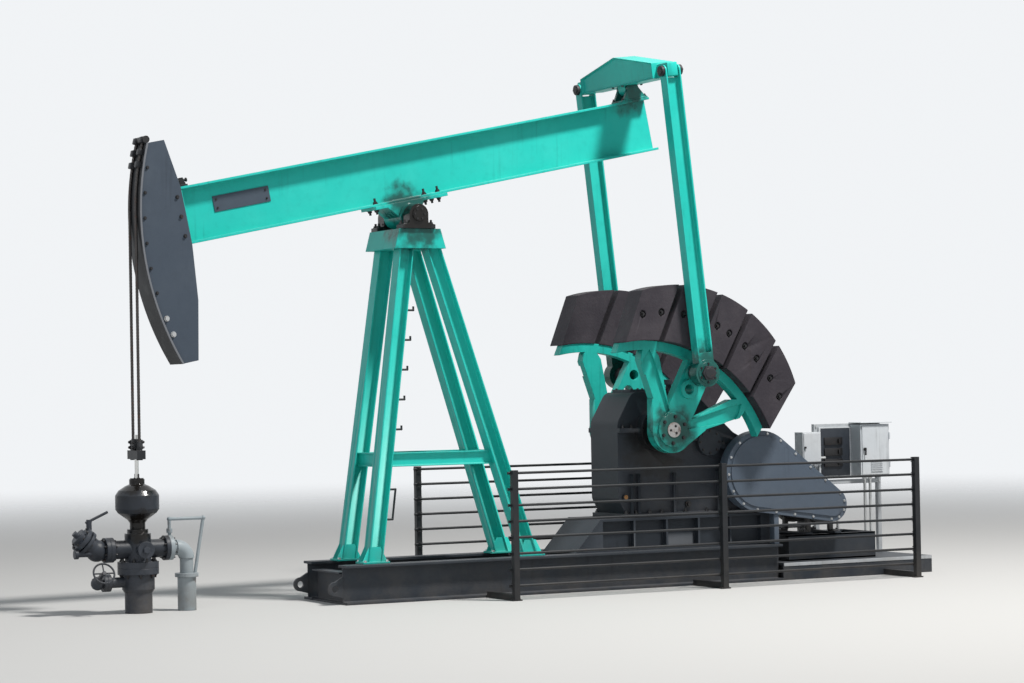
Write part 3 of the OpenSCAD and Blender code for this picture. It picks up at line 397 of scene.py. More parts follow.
# %% Sand castings
def cast(name, colour, warm, rough=0.7, rusty=0.4, bump=0.004, dusty=0.35, dust_reach=1.2, greasy=()):
    material, tree, shader, place = new_material(name)
    tone = blend(use(patches, place, Scale=3.0, Low=0.4, High=0.68), colour, warm)
    brown, bloom = use(rust, place, Scale=5.0, Amount=rusty)
    tone = blend(bloom, tone, brown)
    worn, rounded = use(worn_edges, place, Radius=0.012, Amount=0.7)
    tone = blend(worn, tone, shade(colour, 2.6))
    tone = blend(use(runs, place, Amount=0.5), tone, (0.03, 0.022, 0.022))
    settled = use(dust, place, Reach=dust_reach, Amount=dusty)
    tone = blend(settled, tone, (0.16, 0.14, 0.12))
    gloss = maths("ADD", times(settled, 0.2), rough, True)
    for centre, reach in greasy:
        wet = use(grease, place, Centre=centre, Reach=reach)
        tone = blend(wet, tone, (0.01, 0.009, 0.008))
        gloss = maths("SUBTRACT", gloss, times(wet, 0.45), True)
    normal = add(tree, "Bump", {"Height": use(cast_skin, place, Scale=60.0), "Distance": bump,
                                "Strength": 0.7, "Normal": rounded})
    shader.inputs["Specular IOR Level"].default_value = 0.3
    connect(shader, {"Base Color": tone, "Roughness": gloss, "Normal": normal})
    return material


weight_iron = cast("black_weight_iron", (0.030, 0.026, 0.034), (0.048, 0.042, 0.051), rusty=0.1)
bearing_iron = cast("black_bearing_iron", (0.022, 0.024, 0.028), (0.04, 0.042, 0.046), bump=0.002,
                    rough=0.5, rusty=0.25, greasy=[((0, -0.3, 3.2), 0.25), ((0, 0.3, 3.2), 0.25)])
well_iron = cast("dark_wellhead_iron", (0.024, 0.029, 0.038), (0.045, 0.052, 0.066), rough=0.45,
                 rusty=0.2, bump=0.002, dusty=0.4, dust_reach=0.5,
                 greasy=[((ROD_X, 0, 1.02), 0.26), ((ROD_X, -0.1, 0.7), 0.2)])
print("three castings")

# %% Bare and plated steel
def steel(name, colour, rough, tarnish=0.4, scale=30.0, stretch=(1, 1, 1)):
    material, tree, shader, place = new_material(name)
    grain = noise(vectors("MULTIPLY", place, stretch), scale, 5.0)
    dull = use(patches, place, Scale=7.0, Low=0.4, High=0.75)
    tone = blend(times(dull, tarnish), colour, shade(colour, 0.35))
    brown, bloom = use(rust, place, Scale=12.0, Amount=tarnish)
    gloss = maths("ADD", spread(grain, 0.3, 0.7, rough - 0.08, rough + 0.12),
                  times(bloom, 0.4), True)
    connect(shader, {"Base Color": blend(bloom, tone, brown), "Roughness": gloss,
                           "Metallic": maths("SUBTRACT", 1.0, bloom),
                           "Normal": add(tree, "Bump", {"Height": grain, "Distance": 0.0004})})
    return material


polished = steel("polished_rod_steel", (0.62, 0.62, 0.6), 0.18, 0.15, 60.0, stretch=(1, 1, 0.02))
shaft_steel = steel("shaft_steel", (0.42, 0.41, 0.4), 0.34, 0.45)
rope_steel = steel("rope_steel", (0.075, 0.07, 0.068), 0.46, 0.35, 160.0)
zinc = steel("zinc_bolt", (0.55, 0.56, 0.56), 0.36, 0.3, 80.0)
black_bolt = steel("black_bolt", (0.05, 0.05, 0.052), 0.45, 0.3, 80.0)
print("five steels")

# %% [markdown]
# ## Which node wears which finish
#
# The imported nodes keep their meshes. Only the material in their slots changes.

# %% Finishes for the CAD nodes
finishes = {
    post_paint: ["front_legs", "rear_legs", "leg_ties", "post_cap"],
    beam_paint: ["walking_beam", "saddle", "tail_stand"],
    pitman_paint: ["equalizer", "near_pitman", "far_pitman"],
    crank_paint: ["near_crank", "far_crank"],
    head_paint: ["horsehead", "beam_plate"],
    skid_paint: ["skid_runners", "cross_beams", "rear_frame", "pull_lugs", "pedestal", "motor_stand"],
    reducer_paint: ["gear_reducer"],
    belt_paint: ["belt_guard"],
    motor_paint: ["motor"],
    rail_paint: ["near_guard", "far_guard", "guard_feet", "leg_steps", "head_latch", "carrier_bar"],
    cabinet_paint: ["control_cabinet"],
    frame_paint: ["control_stand"],
    riser_paint: ["flowline_riser"],
    weight_iron: ["near_weights", "far_weights"],
    bearing_iron: ["centre_bearing", "pitman_pins", "rod_clamp"],
    well_iron: ["casing_head", "pumping_tee", "stuffing_box", "wing_valve"],
    polished: ["polished_rod"],
    shaft_steel: ["crankshaft"],
    rope_steel: ["bridle_lines", "bridle_wrap"],
}
for finish, names in finishes.items():
    for name in names:
        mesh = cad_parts[name].data
        mesh.materials.clear()
        mesh.materials.append(finish)
dressed = sum(len(names) for names in finishes.values())
print(dressed, "of", len(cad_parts), "nodes dressed")

# %% [markdown]
# ## Making and placing small pieces
#
# Every added piece starts as a bmesh, gets its place in its vertices, and rides on one body. Bolts repeat
# by the hundred, so they are gathered into one mesh for each assembly. A bolt here is a washer, a hexagon
# head and, where a nut sits on a stud, the stud's end.

# %% Piece and bolt helpers
def piece(name, bm, finish, body, sharp=32.0):
    mesh = bpy.data.meshes.new(name)
    bm.to_mesh(mesh)
    bm.free()
    mesh.shade_smooth()
    mesh.set_sharp_from_angle(angle=math.radians(sharp))
    mesh.materials.append(finish)
    obj = bpy.data.objects.new(name, mesh)
    bpy.context.scene.collection.objects.link(obj)
    if body:
        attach(obj, body)
    return obj


def facing_matrix(at, axis):
    return Matrix.Translation(Vector(at)) @ Vector(axis).to_track_quat("Z", "Y").to_matrix().to_4x4()


def edges_of(verts):
    return list(dict.fromkeys(e for v in verts for e in v.link_edges))


def rod(bm, start, end, radius, axes=on_ground, sides=20, end_radius=None):
    a, b = Vector(start), Vector(end)
    bmesh.ops.create_cone(bm, cap_ends=True, segments=sides, radius1=radius,
                          radius2=radius if end_radius is None else end_radius, depth=(b - a).length,
                          matrix=axes @ facing_matrix((a + b) / 2, b - a))


def block(bm, centre, size, axes=on_ground, bevel=0.0):
    place = axes @ Matrix.Translation(Vector(centre)) @ Matrix.Diagonal((*size, 1))
    made = bmesh.ops.create_cube(bm, size=1.0, matrix=place)
    if bevel:
        bmesh.ops.bevel(bm, geom=edges_of(made["verts"]), offset=bevel, segments=2, affect="EDGES",
                        profile=0.5, material=-1)


def ring(bm, centre, axis, radius, thickness, steps=36, sides=10):
    place = facing_matrix(centre, axis)
    start = bmesh.ops.create_circle(bm, segments=sides, radius=thickness,
                                    matrix=place @ Matrix.Translation((radius, 0, 0))
                                    @ Matrix.Rotation(math.pi / 2, 4, "X"))
    bmesh.ops.spin(bm, geom=edges_of(start["verts"]), cent=Vector(centre), axis=Vector(axis).normalized(),
                   angle=2 * math.pi, steps=steps, use_merge=True, use_duplicate=False)


def bolt(bm, at, axis, size, axes=on_ground, stud=0.0, turn=0.0):
    place = axes @ facing_matrix(at, axis) @ Matrix.Rotation(turn, 4, "Z")
    for low, high, wide, top, sides in ((-0.3, 0.25, 1.2, 1.2, 12), (0.2, 1.0, 1.0, 0.93, 6)):
        bmesh.ops.create_cone(bm, cap_ends=True, segments=sides, radius1=wide * size, radius2=top * size,
                              depth=(high - low) * size,
                              matrix=place @ Matrix.Translation((0, 0, (low + high) / 2 * size)))
    if stud:
        bmesh.ops.create_cone(bm, cap_ends=True, segments=10, radius1=0.55 * size, radius2=0.5 * size,
                              depth=stud + size,
                              matrix=place @ Matrix.Translation((0, 0, (stud + size) / 2)))


def bolts(name, places, size, body, axes=on_ground, stud=0.0, finish=black_bolt):
    bm = bmesh.new()
    for i, (at, axis) in enumerate(places):
        bolt(bm, at, axis, size, axes, stud, turn=0.37 * i)
    made = piece(name, bm, finish, body)
    print(name, len(places), "bolts,", len(made.data.polygons), "faces")


def grid(xs, ys, zs, axis=(0, 0, 1)):
    return [((x, y, z), axis) for x in xs for y in ys for z in zs]


def on_both_sides(points):
    return [((x, side * y, z), (0, side, 0)) for x, y, z in points for side in (-1, 1)]


def around(centre, axis, radius, count, start=0.0):
    place = facing_matrix(centre, axis)
    angles = [start + 2 * math.pi * i / count for i in range(count)]
    return [(place @ Vector((radius * math.cos(a), radius * math.sin(a), 0)), Vector(axis)) for a in angles]


def round_covers(x, y, z, radius, count, start=0.0):
    return [bolt_place for side in (-1, 1)
            for bolt_place in around((x, side * y, z), (0, side, 0), radius, count, start)]


print("helpers for pieces ready")

# %% [markdown]
# ## Forms that are finished here
#
# A last look at the picture showed a few forms that the CAD solids leave a little off: the legs lean in
# towards the cap, the reducer and its pedestal start further back, and the beam has no ribs. Where a node's
# own mesh needs only a push, a copy is merged, its flat faces are joined into one, and a rule moves the
# vertices. The other forms are drawn from a few points and extruded. Each one stands for its node.

# %% A copy of a node, pushed into shape
def reshaped(node, name, finish, body, rule):
    bm = bmesh.new()
    bm.from_mesh(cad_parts[node].data)
    bmesh.ops.remove_doubles(bm, verts=bm.verts, dist=1e-5)
    bmesh.ops.dissolve_limit(bm, angle_limit=0.01, verts=bm.verts, edges=bm.edges)
    for vert in bm.verts:
        vert.co = Vector(rule(*vert.co))
    obj = piece(name, bm, finish, body)
    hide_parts(node)
    print(name, "moved", len(obj.data.vertices), "vertices")


FOOT, CAP_BOTTOM, CAP_TOP = 0.32, 2.925, 3.09
UPRIGHT_LEG, LEG_SHIFT = 0.288, -0.028
FOOT_X, FOOT_Y, RUN_X, RUN_Y = -0.452, 0.265, 0.366, -0.065


def leg_line(z):
    share = (z - FOOT) / (CAP_BOTTOM - FOOT)
    return FOOT_X + RUN_X * share, FOOT_Y + RUN_Y * share


def lean(x, y, z):
    return x + LEG_SHIFT, y - math.copysign(UPRIGHT_LEG - leg_line(z)[1], y), z


def narrow(x, y, z):
    return x + LEG_SHIFT, y * leg_line(z)[1] / UPRIGHT_LEG, z


for node, name, rule in (("front_legs", "leaning_front_legs", lean), ("rear_legs", "leaning_rear_legs", lean),
                         ("leg_ties", "narrowed_ties", narrow)):
    reshaped(node, name, post_paint, "base", rule)

# %% [markdown]
# The housing keeps everything from the crank bearing back. Ahead of it the flat stretch is taken out, and
# the rounded front moves up to the bearing. The pedestal's sloped nose moves with it, and its bays share
# the rest.

# %% A shorter reducer housing and pedestal
OLD_FRONT, NEW_FRONT, FRONT_END = 1.65, 1.905, 1.865
COVER_FRONT, FRONT_SQUEEZE = 2.085, 0.837
OLD_NOSE, NEW_NOSE = 1.42, 1.71
pedestal_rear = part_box("pedestal")[1][0]


def shorter_housing(x, y, z):
    return (NEW_FRONT + (x - OLD_FRONT) * FRONT_SQUEEZE if x < FRONT_END else max(x, COVER_FRONT)), y, z


def shorter_pedestal(x, y, z):
    if x < OLD_NOSE:
        return x + NEW_NOSE - OLD_NOSE, y, z
    share = (pedestal_rear - NEW_NOSE) / (pedestal_rear - OLD_NOSE)
    return pedestal_rear - (pedestal_rear - x) * share, y, z


reshaped("gear_reducer", "reducer_housing", reducer_paint, "base", shorter_housing)
reshaped("pedestal", "reducer_pedestal", skid_paint, "base", shorter_pedestal)

# %% [markdown]
# The rim and the weights lag four degrees behind the line of the wrist pin holes, and they are a little
# shorter than the CAD solids. The rule works in the crank's own axes, u along the holes and v across. A
# vertex slides along its own arc, and the bosses round the two holes stay. The five blocks of a fan stand
# 50 mm apart, so that dark gaps show between them. Their sides flare outwards, and the rule takes the
# flare off before it moves them.

# %% The fan of the cranks and the weights
on_fan = tilted(SHAFT, CRANK_ANGLE - math.radians(4))
to_crank = on_crank.inverted()
RIM_SETBACK, RIM_RADIUS, WEIGHT_RADIUS = 0.63, 1.33, 1.25
SPARE_HOLE, BOSS = 0.38, 0.088
HALF_FAN, WIDER_GAP, NARROWER = 0.905, 0.036, 0.948
RIM_INSIDE, ARM_ANGLE, RIM_SHARE = 1.2, 0.52, 0.75
WEIGHT_FOOT, WEIGHT_DEPTH, FOOT_SHARE, FLARE = 0.2, 1.2, 0.93, 0.17
block_edges = [share * HALF_FAN for share in (-1, -0.6, -0.185, 0.185, 0.6, 1)]


def lagging_crank(x, y, z):
    u, _, v = to_crank @ Vector((x, y, z))
    if min(math.hypot(u - hole, v) for hole in (SPARE_HOLE, THROW)) < BOSS:
        return x, y, z
    reach, turn = math.hypot(u + RIM_SETBACK, v), math.atan2(v, u + RIM_SETBACK)
    if reach > RIM_INSIDE and abs(turn) > ARM_ANGLE:
        turn = math.copysign(ARM_ANGLE + (abs(turn) - ARM_ANGLE) * RIM_SHARE, turn)
        u, v = reach * math.cos(turn) - RIM_SETBACK, reach * math.sin(turn)
    return tuple(on_fan @ Vector((u, y, v)))


def parted(v):
    k = min(4, max(0, sum(v > edge for edge in block_edges) - 1))
    low, high = block_edges[k], block_edges[k + 1]
    new_low = low + (WIDER_GAP / 2 if k > 0 else 0)
    new_high = high - (WIDER_GAP / 2 if k < 4 else 0)
    return new_low + (v - low) / (high - low) * (new_high - new_low)


def weight_faces(v):
    return math.sqrt(RIM_RADIUS ** 2 - v * v) - RIM_SETBACK, math.sqrt(WEIGHT_RADIUS ** 2 - v * v)


def lagging_weight(x, y, z):
    u, _, v = to_crank @ Vector((x, y, z))
    inner, outer = weight_faces(v)
    share = (u - inner) / (outer - inner)
    flare = FOOT_SHARE + FLARE * (u - WEIGHT_FOOT) / WEIGHT_DEPTH
    v = parted(v / flare) * flare * NARROWER
    inner, outer = weight_faces(v)
    return tuple(on_fan @ Vector((inner + share * (outer - inner), y, v)))


for side in ("near", "far"):
    reshaped(side + "_crank", side + "_crank_fan", crank_paint, "cranks", lagging_crank)
    reshaped(side + "_weights", side + "_weight_blocks", weight_iron, "cranks", lagging_weight)

# %% [markdown]
# The beam is one rolled section, so its outline is drawn once and extruded along the beam. The cap is a
# plain wedge on the four legs, and the saddle's plate reaches further along the beam than its casting.

# %% The beam, the post's cap and the saddle's plate
def prism(bm, outline, along, axes=on_ground):
    face = bm.faces.new([bm.verts.new(axes @ Vector(point)) for point in outline])
    made = bmesh.ops.extrude_face_region(bm, geom=[face])
    moved = [g for g in made["geom"] if isinstance(g, bmesh.types.BMVert)]
    bmesh.ops.translate(bm, verts=moved, vec=axes.to_3x3() @ Vector(along))
    bmesh.ops.recalc_face_normals(bm, faces=bm.faces)
    return [face, [g for g in made["geom"] if isinstance(g, bmesh.types.BMFace)][0]]


BEAM_FRONT, BEAM_LENGTH, BEAM_BOTTOM, BEAM_TOP = -1.945, 4.475, 0.127, 0.597
FLANGE, HALF_FLANGE, HALF_WEB = 0.02, 0.1, 0.006
half = [(HALF_FLANGE, BEAM_BOTTOM), (HALF_FLANGE, BEAM_BOTTOM + FLANGE), (HALF_WEB, BEAM_BOTTOM + FLANGE),
        (HALF_WEB, BEAM_TOP - FLANGE), (HALF_FLANGE, BEAM_TOP - FLANGE), (HALF_FLANGE, BEAM_TOP)]
section = half + [(-y, z) for y, z in reversed(half)]
bm = bmesh.new()
prism(bm, [(BEAM_FRONT, y, z) for y, z in section], (BEAM_LENGTH, 0, 0), on_beam)
block(bm, (-1.938, 0, 0.362), (0.014, 0.188, 0.45), on_beam)
beam_section = piece("beam_section", bm, beam_paint, "beam")
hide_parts("walking_beam")
bm = bmesh.new()
wedge = ((-0.216, CAP_BOTTOM), (0.254, CAP_BOTTOM), (0.205, CAP_TOP), (-0.172, CAP_TOP))
prism(bm, [(x, -0.3, z) for x, z in wedge], (0, 0.6, 0))
cap = piece("cap_wedge", bm, post_paint, "base")
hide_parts("post_cap")
bm = bmesh.new()
for low_x, high_x in ((-0.300, -0.240), (0.200, 0.380)):
    block(bm, ((low_x + high_x) / 2, 0, 0.113), (high_x - low_x, 0.3, 0.028), on_beam)
piece("saddle_plate_ends", bm, beam_paint, "beam")
print("beam, cap and saddle plate drawn")

# %% [markdown]
# Steps for a climber stick out of the near front leg. The two lowest are joined into a stirrup.

# %% Steps on the near front leg
STEP_RADIUS, LOWEST_STEP, STEP_RISE = 0.009, 0.675, 0.248
bm = bmesh.new()
tips = []
for k in (0, 1, 3, 4, 5, 6, 7):
    z = LOWEST_STEP + STEP_RISE * k
    x, y = leg_line(z)
    tip = Vector((x + 0.14, -y, z))
    rod(bm, (x + 0.058, -y, z), tip, STEP_RADIUS, sides=14)
    bmesh.ops.create_uvsphere(bm, u_segments=14, v_segments=8, radius=0.0095, matrix=Matrix.Translation(tip))
    if k > 1:
        rod(bm, tip, tip + Vector((0, 0, 0.032)), STEP_RADIUS, sides=14)
    tips.append(tip)
rod(bm, tips[0], tips[1], STEP_RADIUS, sides=14)
step_irons = piece("step_irons", bm, rail_paint, "base")
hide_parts("leg_steps")
print(len(tips), "steps")

# %% [markdown]
# The equalizer is a box with wide flanges. Its outline is extruded, and both faces are inset and pushed in,
# which leaves the flange standing all round. Below it hang the bearing and the two lugs of the pitmans.

# %% The equalizer beam
HALF_DEPTH, HALF_SPAN = 0.11, 0.63
outline = [(-HALF_SPAN, 0.165), (-HALF_SPAN, 0.03), (HALF_SPAN, 0.03), (HALF_SPAN, 0.165), (0, 0.287)]
bm = bmesh.new()
for face in prism(bm, [(-HALF_DEPTH, y, z) for y, z in outline], (2 * HALF_DEPTH, 0, 0), on_pitman):
    bmesh.ops.inset_region(bm, faces=[face], thickness=0.014, depth=-0.025, use_even_offset=True)
rod(bm, (0, -0.06, 0), (0, 0.06, 0), 0.058, on_pitman, sides=32)
prism(bm, [(x, -0.06, z) for x, z in ((-0.056, 0), (0.056, 0), (0.084, 0.07), (-0.084, 0.07))], (0, 0.12, 0),
      on_pitman)
for side in (-1, 1):
    block(bm, (0, side * 0.705, 0.09), (0.104, 0.19, 0.12), on_pitman, bevel=0.01)
equalizer_beam = piece("equalizer_beam", bm, pitman_paint, "pitmans")
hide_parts("equalizer")
print("equalizer", 2 * HALF_SPAN, "m across")

# %% [markdown]
# The motor stands on a low frame of channels that is closed at its ends. A short post carries the belt
# guard, and a pale strip along the edge of the deck beside it is a painted highlight of the channel's lit top
# edge.

# %% The motor's frame, the guard's post and the painted highlight on the deck's edge
FRAME_MIDDLE, FRAME_LENGTH, SHEET = 4.09, 0.94, 0.014
bm = bmesh.new()
for side in (-1, 1):
    block(bm, (FRAME_MIDDLE, side * 0.269, 0.268), (FRAME_LENGTH, SHEET, 0.231))
    for z in (0.16, 0.376):
        block(bm, (FRAME_MIDDLE, side * 0.246, z), (FRAME_LENGTH, 0.06, SHEET))
for x in (3.627, 4.553):
    block(bm, (x, 0, 0.268), (SHEET, 0.55, 0.231))
for x in (3.845, 4.155):
    block(bm, (x, 0, 0.392), (0.07, 0.552, 0.016))
motor_frame = piece("motor_frame", bm, skid_paint, "base")
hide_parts("motor_stand")
bm = bmesh.new()
block(bm, (3.405, -0.38, 0.455), (0.05, 0.08, 0.27), bevel=0.003)
piece("guard_post", bm, belt_paint, "base")
bm = bmesh.new()
# A pale strip on the deck's near edge is a painted highlight of the channel's lit top edge.
block(bm, (4.257, -0.4475, 0.137), (1.6, 0.004, 0.03))
piece("deck_edge_highlight", bm, frame_paint, "base")
print("frame, post and deck edge")

# %% [markdown]
# ## The wire ropes
#
# Two wire ropes, the bridle, hang the carrier bar from the horsehead. A rope is six strands laid round a
# core. A round outline with six lobes, swept along its axis while it turns, gives that lay in one closed
# surface, and the spin operator does both at once when it is given a step along its axis.
#
# Below the tangent point the rope is straight.

# %% Wire rope
ROPE_RADIUS, LAY, STEPS_PER_TURN, STRANDS, GROOVE = 0.0125, 0.15, 12, 6, 0.20
ROPE_SIDES = (-0.074, 0.074)
HEAD_RADIUS = 2.38


def laid_rope(length):
    bm = bmesh.new()
    outline = bmesh.ops.create_circle(bm, segments=24, radius=ROPE_RADIUS)["verts"]
    for vert in outline:
        angle = math.atan2(vert.co.y, vert.co.x)
        vert.co *= 1.0 - GROOVE * (0.5 - 0.5 * math.cos(STRANDS * angle)) ** 1.5
    steps = max(2, round(length / LAY * STEPS_PER_TURN))
    edges = edges_of(outline)
    swept = bmesh.ops.spin(bm, geom=edges, cent=(0, 0, 0), axis=(0, 0, 1), dvec=(0, 0, length / steps),
                           angle=2 * math.pi * length / LAY, steps=steps, use_duplicate=False)
    bmesh.ops.contextual_create(bm, geom=edges)
    last = [g for g in swept["geom_last"] if isinstance(g, bmesh.types.BMEdge)]
    bmesh.ops.contextual_create(bm, geom=last)
    bmesh.ops.recalc_face_normals(bm, faces=bm.faces)
    return bm


def join(bm, single):
    mesh = bpy.data.meshes.new("rope")
    single.to_mesh(mesh)
    single.free()
    bm.from_mesh(mesh)
    bpy.data.meshes.remove(mesh)


HANG_BOTTOM, LIFT = 1.25, 1.00949
hang = PIVOT.z - HANG_BOTTOM
bm = bmesh.new()
for side in ROPE_SIDES:
    single = laid_rope(hang)
    bmesh.ops.translate(single, verts=single.verts, vec=(ROD_X, side, HANG_BOTTOM))
    join(bm, single)
hanging_ropes = piece("hanging_ropes", bm, rope_steel, "rod", sharp=60)
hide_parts("bridle_lines")
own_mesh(hanging_ropes)
print("hanging ropes:", len(hanging_ropes.data.polygons), "faces")

# %% The part of the ropes that lies on the head
HEAD_TOP = math.radians(24.6)
bar_x, bar_z = 0.014 - HEAD_RADIUS * math.cos(HEAD_TOP), 0.030 + HEAD_RADIUS * math.sin(HEAD_TOP)
bar_angle = math.atan2(bar_z, -bar_x) - BEAM_TILT
rope_line = HEAD_RADIUS + 0.011
bm = bmesh.new()
for side in ROPE_SIDES:
    single = laid_rope(bar_angle * rope_line)
    for vert in single.verts:
        angle, reach = vert.co.z / rope_line, rope_line + vert.co.x
        vert.co = Vector((-reach * math.cos(angle), side + vert.co.y, PIVOT.z + reach * math.sin(angle)))
    bmesh.ops.recalc_face_normals(single, faces=single.faces)
    join(bm, single)
ropes_on_head = piece("ropes_on_head", bm, rope_steel, None, sharp=60)
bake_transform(ropes_on_head)
print("ropes on the head cover", round(math.degrees(bar_angle), 1), "degrees")

# %% [markdown]
# The ropes end over a round bar at the top of the head, held by cast keepers, and at the carrier bar in two
# poured sockets. The keepers make the dark lump that shows at the head's upper front corner.

# %% Rope anchor and keepers
bm = bmesh.new()
rod(bm, (bar_x, -0.112, bar_z), (bar_x, 0.112, bar_z), 0.030, on_beam, sides=28)
anchor_bar = piece("anchor_bar", bm, black_bolt, "beam")
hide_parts("bridle_wrap")
bm = bmesh.new()
for side in ROPE_SIDES:
    for turn in (0.2, 2.6, 5.0):
        angle = bar_angle - math.radians(turn) + BEAM_TILT
        reach = rope_line + 0.004
        at = Vector((-reach * math.cos(angle), side, reach * math.sin(angle)))
        swung = Matrix.Translation(at) @ Matrix.Rotation(angle, 4, "Y") @ Matrix.Translation(-at)
        block(bm, at, (0.046, 0.062, 0.05), on_beam @ swung, bevel=0.006)
piece("rope_keepers", bm, bearing_iron, "beam")
print("three keepers on each rope")

# %% [markdown]
# ## Bolts on the post and the beam
#
# Each leg stands on a foot plate held by four bolts. The centre bearing is bolted to the cap, the saddle to
# the beam's lower flange, and the tail bearing to the upper one.

# %% Bolts of the post, the bearing and the beam
places = [((x + dx, side * y, FOOT + 0.016), (0, 0, 1)) for x in (FOOT_X, 0.996) for side in (-1, 1)
          for dx in (-0.098, 0.098) for y in (0.199, 0.331)]
bolts("foot_bolts", places, 0.013, "base", finish=zinc)
places = grid((-0.122, 0.122), (-0.225, -0.29, 0.225, 0.29), [CAP_TOP + 0.034])
bolts("bearing_bolts", places, 0.019, "base", stud=0.02)
bolts("bearing_cap_bolts", round_covers(0, 0.334, PIVOT.z, 0.044, 6), 0.008, "base")
for name, z, way, stud in (("saddle_bolts", 0.147, 1, 0.03), ("saddle_nuts", 0.099, -1, 0.02)):
    places = grid((-0.26, 0.2, 0.33), (-0.07, 0.07), [z], (0, 0, way))
    bolts(name, places, 0.02, "beam", on_beam, stud=stud)
places = grid((TAIL_REACH - 0.115, TAIL_REACH + 0.115), (-0.082, 0.082), [BEAM_TOP + 0.014])
bolts("tail_bolts", places, 0.012, "beam", on_beam, stud=0.012)
bolts("plate_bolts", grid((-1.625, -1.185), [-0.012], (0.372, 0.442), (0, -1, 0)), 0.008, "beam", on_beam)

# %% [markdown]
# ## Bolts on the horsehead
#
# Two large plated bolts shine near the tip of the head. Smaller ones follow the edge, and three on each
# side hold the head to the beam, all in the dark finish of plain bolts.

# %% Horsehead bolts
def on_head_edge(degrees, inset):
    angle, reach = math.radians(degrees), HEAD_RADIUS - inset
    return -reach * math.cos(angle), 0.118, reach * math.sin(angle)


bright = on_both_sides([on_head_edge(degrees, 0.056) for degrees in (-13.8, -10.4)])
dark = on_both_sides([on_head_edge(degrees, 0.05) for degrees in range(-5, 24, 5)])
hinge = [((-1.99, side * 0.118, z), (0, side, 0)) for side in (-1, 1) for z in (0.2, 0.36, 0.52)]
bolts("head_tip_bolts", bright, 0.02, "beam", on_beam, finish=zinc)
bolts("head_edge_bolts", dark, 0.012, "beam", on_beam)
bolts("head_pivot_bolts", hinge, 0.014, "beam", on_beam)

# %% [markdown]
# ## Cranks, counterweights and wrist pins
#
# Each cast block hangs on the crank's rim by two long bolts whose nuts sit in pockets on the outer face. A
# key and a clamp hold the crank on its shaft, and a keeper plate covers the shaft's end.

# %% Bolts of the cranks and the weights
pockets = []
for low, high in zip(block_edges, block_edges[1:]):
    for step in (-0.24, 0.24):
        v = (low + high) / 2 + step * (high - low)
        u = sum(weight_faces(v)) / 2
        pockets += [(lagging_weight(*(on_crank @ Vector((u, side * 0.655, v)))), (0, side, 0))
                    for side in (-1, 1)]
bolts("weight_nuts", pockets, 0.023, "cranks", stud=0.02)
bolts("hub_bolts", round_covers(0, 0.585, 0, 0.115, 6, 0.3), 0.014, "cranks", on_crank)
bolts("shaft_end_bolts", round_covers(0, 0.591, 0, 0.034, 3), 0.009, "cranks", on_crank)
bolts("wrist_cover_bolts", round_covers(WRIST.x, 0.817, WRIST.z, 0.08, 6, 0.5), 0.009, "pitmans")

# %% [markdown]
# ## Equalizer
#
# The equalizer shares the pull between both pitmans. It is a box beam with wide flanges, and the bearing
# over the beam's tail is bolted to it from below.

# %% Equalizer bolts and pin keepers
PIN_FACE = 0.1013
places = grid((-0.096, 0.096), (-0.085, 0.085), [0.03], (0, 0, -1))
bolts("equalizer_bolts", places, 0.011, "pitmans", on_pitman)
places = []
for way in (-1, 1):
    places += grid([way * PIN_FACE], (-0.793, -0.717, 0.717, 0.793), [0.08], (way, 0, 0))
bolts("pin_keepers", places, 0.006, "pitmans", on_pitman)

# %% [markdown]
# ## Gear reducer
#
# The housing is split along the shaft centres. Bolts run all along that joint, round every bearing cover
# and along the base flange, and the inspection cover on top has two rows of its own.

# %% Reducer bolts
FLANGE_Y, LID_X, SLOPE = 0.262, 2.39, 0.284
split_z = SHAFT.z + 0.02
split = []
for side in (-1, 1):
    for x in (1.945, 2.03, 2.50, 2.62, 2.96, 3.08):
        sloping = x > LID_X
        z = split_z - max(0.0, x - LID_X) * SLOPE
        split.append(((x, side * FLANGE_Y, z), (0.27 if sloping else 0.0, 0, 1)))
bolts("split_bolts", split, 0.015, "base", stud=0.012)
bolts("cover_bolts", round_covers(SHAFT.x, 0.35, SHAFT.z, 0.165, 10), 0.012, "base")
bolts("second_cover_bolts", round_covers(2.81, 0.292, 1.24, 0.098, 8), 0.010, "base")
bolts("third_cover_bolts", around((3.25, 0.32, 0.97), (0, 1, 0), 0.098, 8), 0.010, "base")
places = [((x, side * FLANGE_Y, 0.634), (0, 0, 1)) for side in (-1, 1)
          for x in (1.965, 2.06, 2.2, 2.32, 2.56, 2.78, 3.0, 3.3)]
bolts("base_flange_bolts", places, 0.016, "base", stud=0.014)
places = grid((2.115, 2.22, 2.33, 2.435), (-0.135, 0.135), [SHAFT.z + 0.355])
bolts("lid_bolts", places, 0.010, "base")

# %% [markdown]
# The oil level is read at a small sight glass low on the housing's side. A drain plug sits further back.

# %% Oil sight glass and drain plug
def on_sides(bm, x, z, inner, outer, radius, sides=20):
    for side in (-1, 1):
        rod(bm, (x, side * inner, z), (x, side * outer, z), radius, sides=sides)


bm = bmesh.new()
on_sides(bm, 1.965, 0.78, 0.238, 0.262, 0.026)
on_sides(bm, 2.6, 0.70, 0.238, 0.256, 0.03)
on_sides(bm, 2.6, 0.70, 0.25, 0.272, 0.018, sides=6)
piece("oil_fittings", bm, black_bolt, "base")
glass, tree, shader, place = new_material("oil_glass")
cloudy = use(patches, place, Scale=40.0)
connect(shader, {"Base Color": blend(cloudy, (0.35, 0.16, 0.03), (0.22, 0.09, 0.02))})
shader.inputs["Roughness"].default_value = 0.08
bm = bmesh.new()
on_sides(bm, 1.965, 0.78, 0.26, 0.2655, 0.019)
piece("sight_glasses", bm, glass, "base")
print("oil fittings on both sides")

